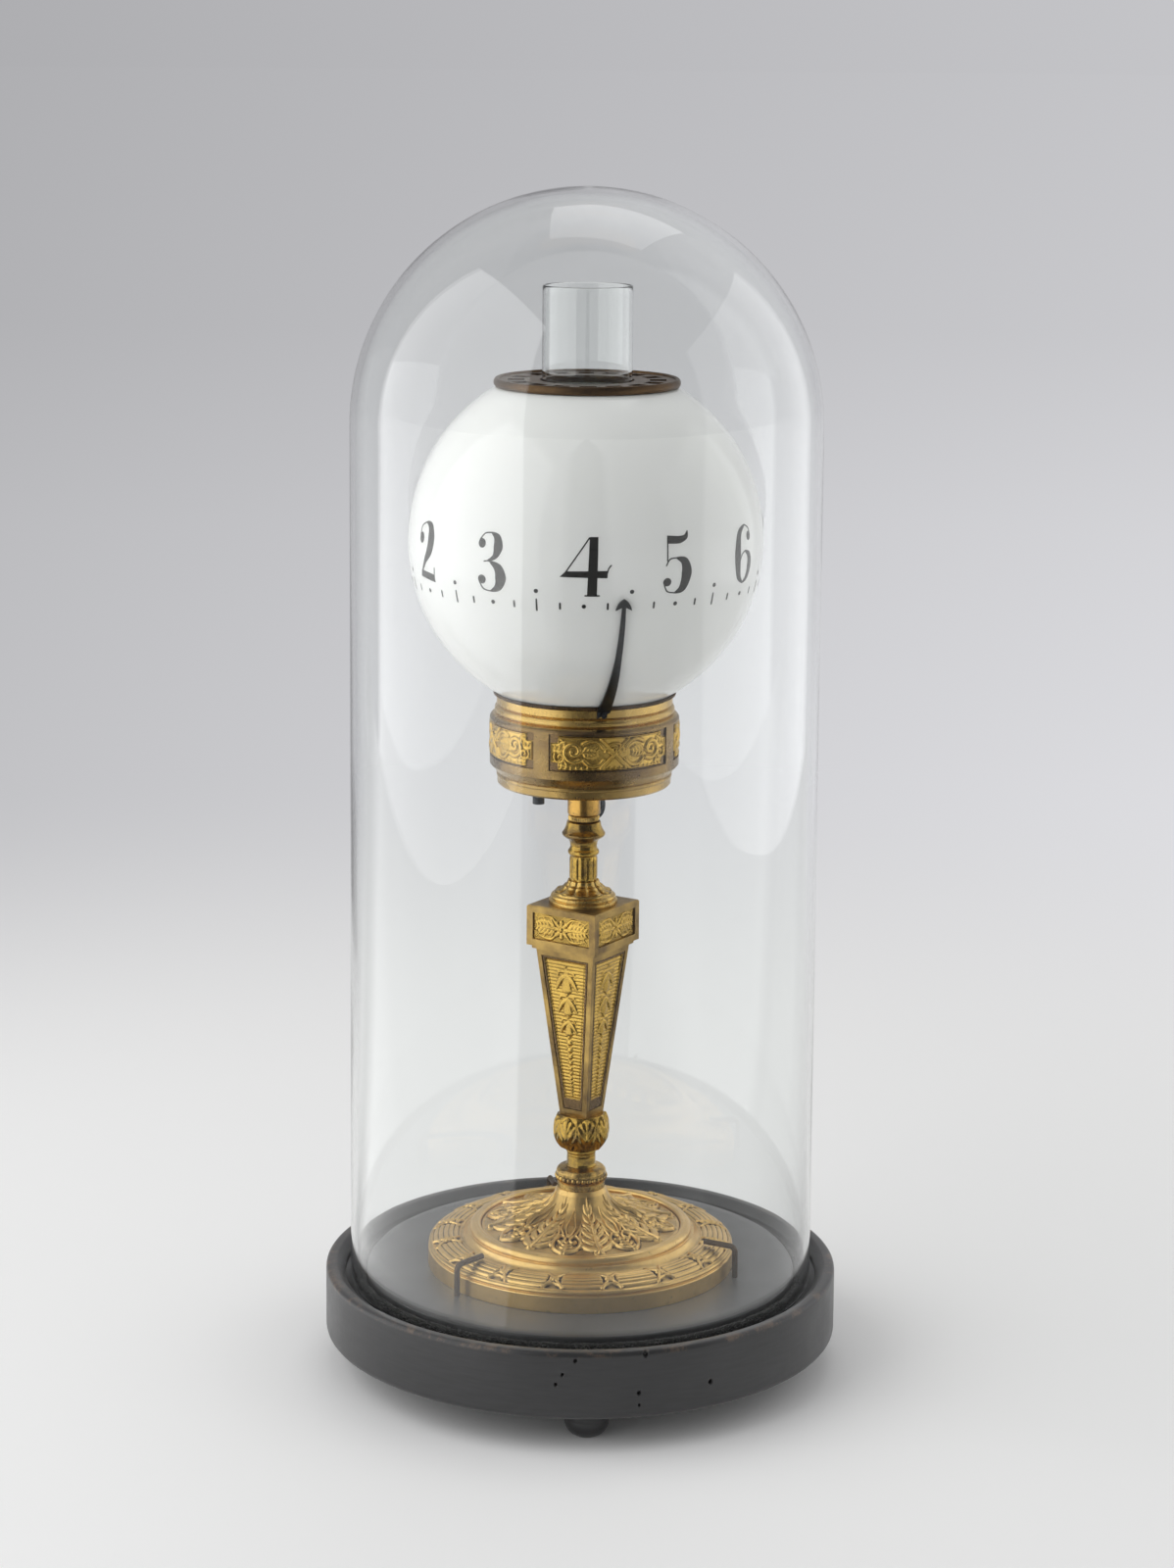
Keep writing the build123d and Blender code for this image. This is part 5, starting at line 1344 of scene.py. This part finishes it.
def numeral(digit, u, v):
    """A fat-faced numeral in a box one unit high: thick curves, hairlines and round ends."""
    def line(points, widths):
        return pen(u, v, points, widths)

    if digit == "0":
        return np.maximum(line([(0.30, 0.99), (0.12, 0.86), (0.075, 0.5), (0.12, 0.14), (0.30, 0.01)],
                               [HAIR, 0.055, 0.085, 0.055, HAIR]),
                          line([(0.30, 0.99), (0.48, 0.86), (0.525, 0.5), (0.48, 0.14), (0.30, 0.01)],
                               [HAIR, 0.055, 0.085, 0.055, HAIR]))
    if digit == "1":
        return np.maximum.reduce([line([(0.33, 0.08), (0.33, 0.92)], [0.085, 0.085]),
                                  patch(u, v, [(0.245, 0.0), (0.415, 0.0), (0.415, 1.0), (0.245, 0.97)]),
                                  line([(0.1, 0.014), (0.56, 0.014)], [0.014, 0.014]),
                                  line([(0.08, 0.84), (0.2, 0.87), (0.3, 0.985)], [HAIR, HAIR, 0.02])])
    if digit == "2":
        return np.maximum.reduce([disc(u, v, 0.125, 0.71, 0.075, 1.25),
                                  line([(0.06, 0.74), (0.1, 0.9), (0.27, 0.988)], [HAIR, HAIR, HAIR]),
                                  line([(0.27, 0.988), (0.41, 0.93), (0.455, 0.74), (0.40, 0.52), (0.25, 0.33),
                                        (0.1, 0.12)], [HAIR, 0.07, 0.098, 0.085, 0.04, HAIR]),
                                  patch(u, v, [(0.05, 0.045), (0.55, 0.0), (0.53, 0.13), (0.09, 0.165)]),
                                  line([(0.53, 0.1), (0.55, 0.25)], [HAIR, HAIR])])
    if digit == "3":
        return np.maximum.reduce([disc(u, v, 0.12, 0.80, 0.068, 1.15), disc(u, v, 0.115, 0.2, 0.075, 0.98),
                                  line([(0.08, 0.86), (0.17, 0.965), (0.3, 0.985)], [HAIR, HAIR, HAIR]),
                                  line([(0.3, 0.985), (0.405, 0.91), (0.43, 0.76), (0.375, 0.6), (0.24, 0.52)],
                                       [HAIR, 0.062, 0.085, 0.045, HAIR]),
                                  line([(0.17, 0.505), (0.24, 0.515), (0.3, 0.505)], [HAIR, HAIR, HAIR]),
                                  line([(0.28, 0.51), (0.43, 0.41), (0.475, 0.25), (0.42, 0.09), (0.28, 0.013)],
                                       [HAIR, 0.075, 0.1, 0.065, HAIR]),
                                  line([(0.28, 0.013), (0.13, 0.045), (0.045, 0.2)], [HAIR, HAIR, HAIR])])
    if digit == "4":
        return np.maximum.reduce([patch(u, v, [(0.45, 0.015), (0.61, 0.015), (0.63, 0.985), (0.49, 0.985)]),
                                  line([(0.485, 0.97), (0.07, 0.36)], [HAIR, HAIR]),
                                  patch(u, v, [(0.0, 0.325), (0.78, 0.31), (0.785, 0.43), (0.1, 0.42)]),
                                  line([(0.42, 0.014), (0.65, 0.014)], [0.013, 0.013]),
                                  line([(0.78, 0.4), (0.8, 0.47), (0.84, 0.52)], [HAIR, HAIR, HAIR])])
    if digit == "5":
        return np.maximum.reduce([disc(u, v, 0.115, 0.205, 0.072, 0.95),
                                  line([(0.12, 0.93), (0.11, 0.56)], [HAIR, HAIR]),
                                  patch(u, v, [(0.125, 0.84), (0.3, 0.83), (0.3, 0.955), (0.11, 0.975)]),
                                  line([(0.2, 0.895), (0.34, 0.895), (0.46, 0.935), (0.5, 1.03)],
                                       [0.06, 0.06, 0.04, 0.008]),
                                  line([(0.09, 0.48), (0.16, 0.585), (0.3, 0.6)], [HAIR, HAIR, HAIR]),
                                  line([(0.28, 0.6), (0.43, 0.53), (0.475, 0.34), (0.41, 0.1), (0.27, 0.014)],
                                       [HAIR, 0.07, 0.098, 0.068, HAIR]),
                                  line([(0.27, 0.014), (0.12, 0.05), (0.05, 0.2)], [HAIR, HAIR, HAIR])])
    if digit == "6":
        return np.maximum.reduce([disc(u, v, 0.475, 0.79, 0.062, 1.25),
                                  line([(0.53, 0.8), (0.49, 0.92), (0.36, 0.988)], [HAIR, HAIR, HAIR]),
                                  line([(0.36, 0.988), (0.17, 0.85), (0.105, 0.5), (0.16, 0.16), (0.31, 0.012)],
                                       [HAIR, 0.06, 0.09, 0.062, HAIR]),
                                  line([(0.19, 0.42), (0.25, 0.51), (0.36, 0.555)], [HAIR, HAIR, HAIR]),
                                  line([(0.34, 0.552), (0.475, 0.47), (0.51, 0.3), (0.45, 0.1), (0.31, 0.012)],
                                       [HAIR, 0.055, 0.068, 0.05, HAIR])])
    if digit == "7":
        return np.maximum.reduce([patch(u, v, [(0.07, 0.84), (0.54, 0.87), (0.56, 0.985), (0.09, 0.985)]),
                                  line([(0.085, 0.95), (0.06, 0.74)], [HAIR, HAIR]),
                                  line([(0.54, 0.93), (0.38, 0.62), (0.29, 0.32), (0.29, 0.07)],
                                       [HAIR, 0.03, 0.075, 0.085])])
    if digit == "8":
        return np.maximum.reduce([line([(0.3, 0.988), (0.16, 0.89), (0.15, 0.74), (0.3, 0.55), (0.45, 0.36),
                                        (0.46, 0.14), (0.3, 0.012)], [HAIR, 0.055, 0.075, 0.085, 0.085, 0.06, HAIR]),
                                  line([(0.3, 0.988), (0.43, 0.93), (0.45, 0.78), (0.34, 0.6)], [HAIR] * 4),
                                  line([(0.3, 0.55), (0.12, 0.4), (0.09, 0.2), (0.16, 0.06), (0.3, 0.012)], [HAIR] * 5)])
    return numeral("6", 0.62 - u, 1.0 - v)


DIGIT_WIDTH = {"4": 0.80, "1": 0.62}


def hour_text(hour):
    """Shape of an hour's numeral, centred on the origin, in millimetres."""
    text, tall = str(hour), sizes().numeral_height / MM
    squeeze = 1.0 if len(text) == 1 else 0.78
    widths = [DIGIT_WIDTH.get(d, 0.6) * squeeze for d in text]
    gap = -0.04 if len(text) == 2 else 0.0
    total = sum(widths) + gap * (len(text) - 1)

    def shape(u, v):
        best, at = np.full(u.shape, -9.0), -total / 2
        for digit, width in zip(text, widths):
            best = np.maximum(best, numeral(digit, (u / tall - at) / squeeze, v / tall + 0.5))
            at += width + gap
        return best * tall

    reach = total / 2 * tall + 0.8
    return shape, (-reach, reach, -tall / 2 - 0.3, tall / 2 + 0.9)


class LAMPCLOCK_OT_globe(bpy.types.Operator):
    """Blow the opal globe, fire its numerals and marks, cut its turning ring, and finish the vent cap"""
    bl_idname = "lamp_clock.globe"
    bl_label = "Globe"

    def execute(self, context):
        s = sizes()
        low, top = level("globe_glass", False), level("globe_glass")
        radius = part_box("globe_glass")[1].x / MM
        centre = low + 58.9
        inner = radius - 2.5

        def at(reach, height):
            return math.sqrt(reach ** 2 - (height - centre) ** 2), height

        outer = [at(radius, low), (radius, centre) + at(radius, top)]
        hollow = [(33.2, top), (33.2, centre + math.sqrt(inner ** 2 - 33.2 ** 2)),
                  (inner, centre, 30.0, centre - math.sqrt(inner ** 2 - 30.0 ** 2)), (30.0, low)]
        globe = lathe("opal_globe", outer, hollow, around=360, step=1.3)
        dress(globe, "globe", "opal_glass", "globe_glass")

        def on_globe(angle):
            def place(x, y, lift):
                reach = radius - 0.04 + lift
                turn = angle + x / radius
                up = y / radius
                return (reach * math.cos(up) * math.cos(turn) * MM, reach * math.cos(up) * math.sin(turn) * MM,
                        (centre + reach * math.sin(up) + BASE_TOP) * MM)
            return place

        thick = s.enamel_rise / MM + 0.04
        four = -math.pi / 2 + s.reading
        track = -12.7 * math.pi / 180 * radius
        for hour in range(1, 13):
            angle = four + (hour - 4) * math.pi / 6
            shape, reach = hour_text(hour)
            piece = raised_shape(f"numeral_{hour}", [(shape, reach)], on_globe(angle), thick, cell=0.2)
            dress(piece, "globe", "opal_glass", look="enamel")

            marks = [(lambda u, v: disc(u, v, 0, track, 0.8), (-1, 1, track - 1, track + 1))]
            for quarter in (-1, 1):
                x = quarter * radius * math.pi / 24
                marks.append((lambda u, v, x=x: pen(u, v, [(x, track - 1.0), (x, track + 1.0)], [0.38, 0.38]),
                              (x - 1, x + 1, track - 1.6, track + 1.6)))
            x = radius * math.pi / 12
            worn = 0.0 if hour != 4 else 0.33
            marks.append((lambda u, v, x=x: pen(u, v, [(x, track - 1.9), (x, track + 2.3)], [0.36 - worn, 0.3 - worn]),
                          (x - 1, x + 1, track - 2.6, track + 2.8)))
            marks.append((lambda u, v, x=x: disc(u, v, x, track + 5.5, 0.8), (x - 1, x + 1, track + 4.5, track + 6.5)))
            piece = raised_shape(f"track_{hour}", marks, on_globe(angle), thick, cell=0.16)
            dress(piece, "globe", "opal_glass", look="enamel")
        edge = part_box("globe_carrier")[1].x / MM
        seat = 227.55

        def teeth(angle, r, z, s_):
            return 0.22 * np.clip(0.5 + 1.2 * np.cos(s.lip_teeth * angle), 0, 1) * (r > edge - 0.2)

        outer = [(edge - 0.5, seat - 0.35), (edge - 0.1, seat - 0.4), (edge + 0.03, seat - 0.25),
                 (edge + 0.03, seat + 0.25), (edge - 0.1, seat + 0.4), (edge - 0.5, seat + 0.35)]
        ring = lathe("toothed_lip", outer, [(edge - 0.6, seat)], around=s.lip_teeth * 6, step=0.2, relief=teeth)
        dress(ring, "globe", "dark_bronze")
        coat("dark_bronze", "vent_cap", "globe_carrier")
        return {"FINISHED"}


# The drum, the pointer, the movement and the lamp.

POINTER_HEAD = 4.4
POINTER_BARB = 3.15
POINTER_NOTCH = 3.0


def pointer_hand(name):
    """Blued steel hand with a barbed head, rising from the top band along the curve of the globe."""
    low, tip = level("pointer", False), level("pointer")
    near = -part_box("pointer")[0].y / MM - 0.8
    centre = level("globe_glass", False) + 58.9
    root, bend = 33.9, level("drum_case") - 0.7
    leave = centre - math.sqrt(near ** 2 - (near * math.cos(math.radians(55.5))) ** 2)

    def place(x, y, lift):
        if y > leave:
            up = math.asin((y - centre) / near)
            return (x * MM, -(near + lift) * math.cos(up) * MM, (centre + (near + lift) * math.sin(up) + BASE_TOP) * MM)
        share = min(max((y - bend) / (leave - bend), 0), 1)
        out = root + (near * math.cos(math.radians(55.5)) - root) * share
        return (x * MM, -(out + lift) * MM, (y - lift * 0.4 * share + BASE_TOP) * MM)

    def hand(u, v):
        body = pen(u, v, [(0, tip - 2.0), (0, tip - POINTER_NOTCH - 1), (0, (tip + bend) / 2), (0, bend + 1.2)],
                   [0.5, 0.72, 1.15, 2.55])
        root_end = patch(u, v, [(-2.55, low), (2.55, low + 2.2), (2.55, bend + 1.4), (-2.55, bend + 1.4)])
        head = np.full(u.shape, -9.0)
        for side in (-1, 1):
            w = side * u
            outer = (0.85 + POINTER_BARB) * (tip - v) / (tip - v + 2.2) * 1.14 - w
            inner = v - (tip - POINTER_NOTCH) + (POINTER_HEAD - POINTER_NOTCH) * np.clip(w / POINTER_BARB, 0, 1) ** 1.5
            head = np.maximum(head, np.minimum(np.minimum(outer, inner), np.minimum(w + 0.1, tip - v)))
        return np.maximum(np.maximum(body, root_end), head)

    return raised_shape(name, [(hand, (-3.6, 3.6, low - 0.2, tip))], place, 0.8, cell=0.14)


def drum_scrolls(u, v):
    """Volutes to both sides, crossed rods with arcs in the middle and a fringe of leaves below."""
    field = np.zeros_like(u)
    for hand in (-1, 1):
        w = hand * u
        stroke(field, w, v, spiral((15.6, 0.8), 4.2, 1.35, -2.2, 1, 0.2), 0.85, 0.85)
        stroke(field, w, v, spiral((20.6, -1.6), 2.4, 1.1, 0.6, -1, 0.25), 0.62, 0.75)
        stroke(field, w, v, [(11.8, -2.6), (9.4, -4.6), (6.2, -4.4), (4.2, -2.4)], 0.75, 0.8)
        stroke(field, w, v, [(12.0, 3.8), (9.0, 5.0), (6.0, 4.2), (4.4, 2.0)], 0.7, 0.75)
        leaf(field, w, v, (12.2, 0.6), (6.4, 0.3), 2.6, 0.7, pairs=4)
        leaf(field, w, v, (18.6, 4.6), (23.2, 2.2), 2.0, 0.65, pairs=3)
        leaf(field, w, v, (17.4, -4.6), (22.6, -4.4), 2.0, 0.65, pairs=3)
        stroke(field, w, v, [(-5.4, -5.4), (5.4, 5.4)], 0.55, 0.95)
        stroke(field, w, v, [(-4.6, -5.6), (6.0, 4.8)], 0.3, 0.7)
    for r in (2.1, 3.9):
        stroke(field, u, v, [(r * math.cos(a), r * math.sin(a)) for a in np.linspace(0.15, math.pi - 0.15, 9)], 0.42, 0.7)
    floret(field, u, v, (0, 0), 1.4, 0.95, petals=6)
    for k in range(-11, 12):
        stroke(field, u, v, [(k * 2.05, -6.9), (k * 2.05, -5.3)], 0.85, 0.55, ends=(1.0, 0.4))
    return field


class LAMPCLOCK_OT_drum(bpy.types.Operator):
    """Carve the panels of the drum and finish the case, the pointer, the key and the movement"""
    bl_idname = "lamp_clock.drum"
    bl_label = "Drum"

    def execute(self, context):
        low, high, reach = 203.5, 217.7, 36.5 - 0.7
        middle, half = (low + high) / 2, (high - low) / 2

        for panel in range(4):
            centre = math.radians(-83.5 + 90 * panel)

            def on_drum(x, y, lift):
                turn = centre + x / reach
                out = reach - 0.04 + lift
                return (out * math.cos(turn) * MM, out * math.sin(turn) * MM, (middle + y + BASE_TOP) * MM)

            def carving(u, v):
                field = 0.3 + 0.85 * drum_scrolls(u, v)
                tall = np.where(np.abs(u) > 21.6, 3.75, 6.45)
                edge = np.minimum(tall - np.abs(v), 24.3 - np.abs(u))
                edge = np.where(np.abs(v) > 3.75, np.minimum(edge, 21.6 - np.abs(u)), edge)
                lip = np.clip(1 - np.abs(edge - 0.45) / 0.4, 0, 1)
                field = np.maximum(field, 0.85 * lip) * np.clip(edge / 0.15, 0, 1)
                return field, np.clip(-edge / 0.2, 0, 1)

            slab = relief_slab(f"drum_panel_{panel + 1}", ((-24.85, 24.85), (-half + 0.08, half - 0.08)), carving, 0.08,
                               on_drum, 0.17)
            dress(slab, "stand", "gilt_brass", look="panel_brass")
        coat("drum_brass", "drum_case")
        coat("movement_brass", "drum_floor", "lower_plate", "upper_plate", "movement_pillars", "barrel", "hour_arbor",
             "third_wheel", "fourth_wheel", "escape_wheel")
        coat("steel", "barrel_arbor", "ratchet_wheel", "click", "click_stud", "mainspring", "balance_wheel",
             "pallet_lever")
        dress(pointer_hand("pointer_hand"), "stand", "blued_steel", "pointer")
        coat("blued_steel", "pointer_screw", "winding_key", "setting_knob")
        return {"FINISHED"}


def braided(u, v):
    """Yarns of a flat braid, crossing from both sides."""
    one = np.sin((u + v) * 3.2) * np.cos((u - v) * 3.2)
    return 0.07 * one + 0.05 * np.cos(u * 6.4), np.zeros_like(u)


class LAMPCLOCK_OT_lamp(bpy.types.Operator):
    """Finish the oil lamp: tank, burner, gallery, wick and the glass chimney"""
    bl_idname = "lamp_clock.lamp"
    bl_label = "Lamp"

    def execute(self, context):
        coat("movement_brass", "oil_font", "burner", "gallery", "wick_spindle")
        (x0, y0, z0), (x1, y1, z1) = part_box("wick")
        half, low, high = x1 / MM, z0 / MM, z1 / MM
        deep = y1 / MM
        faces = []
        for side in (-1, 1):
            def on_wick(x, y, lift, side=side):
                return (x * MM * side, side * (lift - 0.02) * MM, (y + (low + high) / 2) * MM)
            faces.append(relief_slab("wick_side", ((-half + 0.1, half - 0.1), (-(high - low) / 2, (high - low) / 2)),
                                     braided, deep - 0.14, on_wick, 0.3))
        wick = faces[0]
        bm = bmesh.new()
        bm.from_mesh(faces[0].data)
        bm.from_mesh(faces[1].data)
        bm.to_mesh(wick.data)
        bm.free()
        bpy.data.objects.remove(faces[1])
        wick.name = "braided_wick"
        dress(wick, "wick", "wick_cotton", "wick")

        low, top = level("chimney", False), level("chimney")
        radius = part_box("chimney")[1].x / MM
        inner = radius - 1.1
        outline = [(inner + 0.25, low), (radius - 0.25, low), (radius, low + 0.25), (radius, top - 0.55),
                   (radius - 0.16, top - 0.16, radius - 0.55, top), (radius - 0.94, top - 0.16, inner, top - 0.55)]
        tube = lathe("glass_chimney", outline, [(inner, low + 0.25)], around=192, step=2.0)
        dress(tube, "chimney", "clear_glass", "chimney")
        return {"FINISHED"}


class LAMPCLOCK_PT_steps(bpy.types.Panel):
    """Steps of dressing the lamp clock"""
    bl_idname = "LAMPCLOCK_PT_steps"
    bl_label = "Lamp clock"
    bl_space_type = "VIEW_3D"
    bl_region_type = "UI"
    bl_category = "Lamp Clock"

    def draw(self, context):
        column = self.layout.column()
        for step in STEPS:
            column.operator(step.bl_idname)
        for group in (context.scene.lamp_clock_sizes, context.scene.lamp_clock_colours):
            box = self.layout.box()
            for name in group.bl_rna.properties.keys():
                if name not in ("rna_type", "name"):
                    box.prop(group, name)


STEPS = (LAMPCLOCK_OT_studio, LAMPCLOCK_OT_base, LAMPCLOCK_OT_foot, LAMPCLOCK_OT_column, LAMPCLOCK_OT_drum,
         LAMPCLOCK_OT_lamp, LAMPCLOCK_OT_globe, LAMPCLOCK_OT_dome)
CLASSES = (LampClockSizes, LampClockColours, LAMPCLOCK_PT_steps) + STEPS


def register():
    for each in CLASSES:
        bpy.utils.register_class(each)
    bpy.types.Scene.lamp_clock_sizes = PointerProperty(type=LampClockSizes)
    bpy.types.Scene.lamp_clock_colours = PointerProperty(type=LampClockColours)


def unregister():
    del bpy.types.Scene.lamp_clock_colours
    del bpy.types.Scene.lamp_clock_sizes
    for each in reversed(CLASSES):
        bpy.utils.unregister_class(each)


def main():
    register()
    for step in ("studio", "base", "foot", "column", "drum", "lamp", "globe", "dome"):
        getattr(bpy.ops.lamp_clock, step)()


if __name__ == "__main__":
    main()
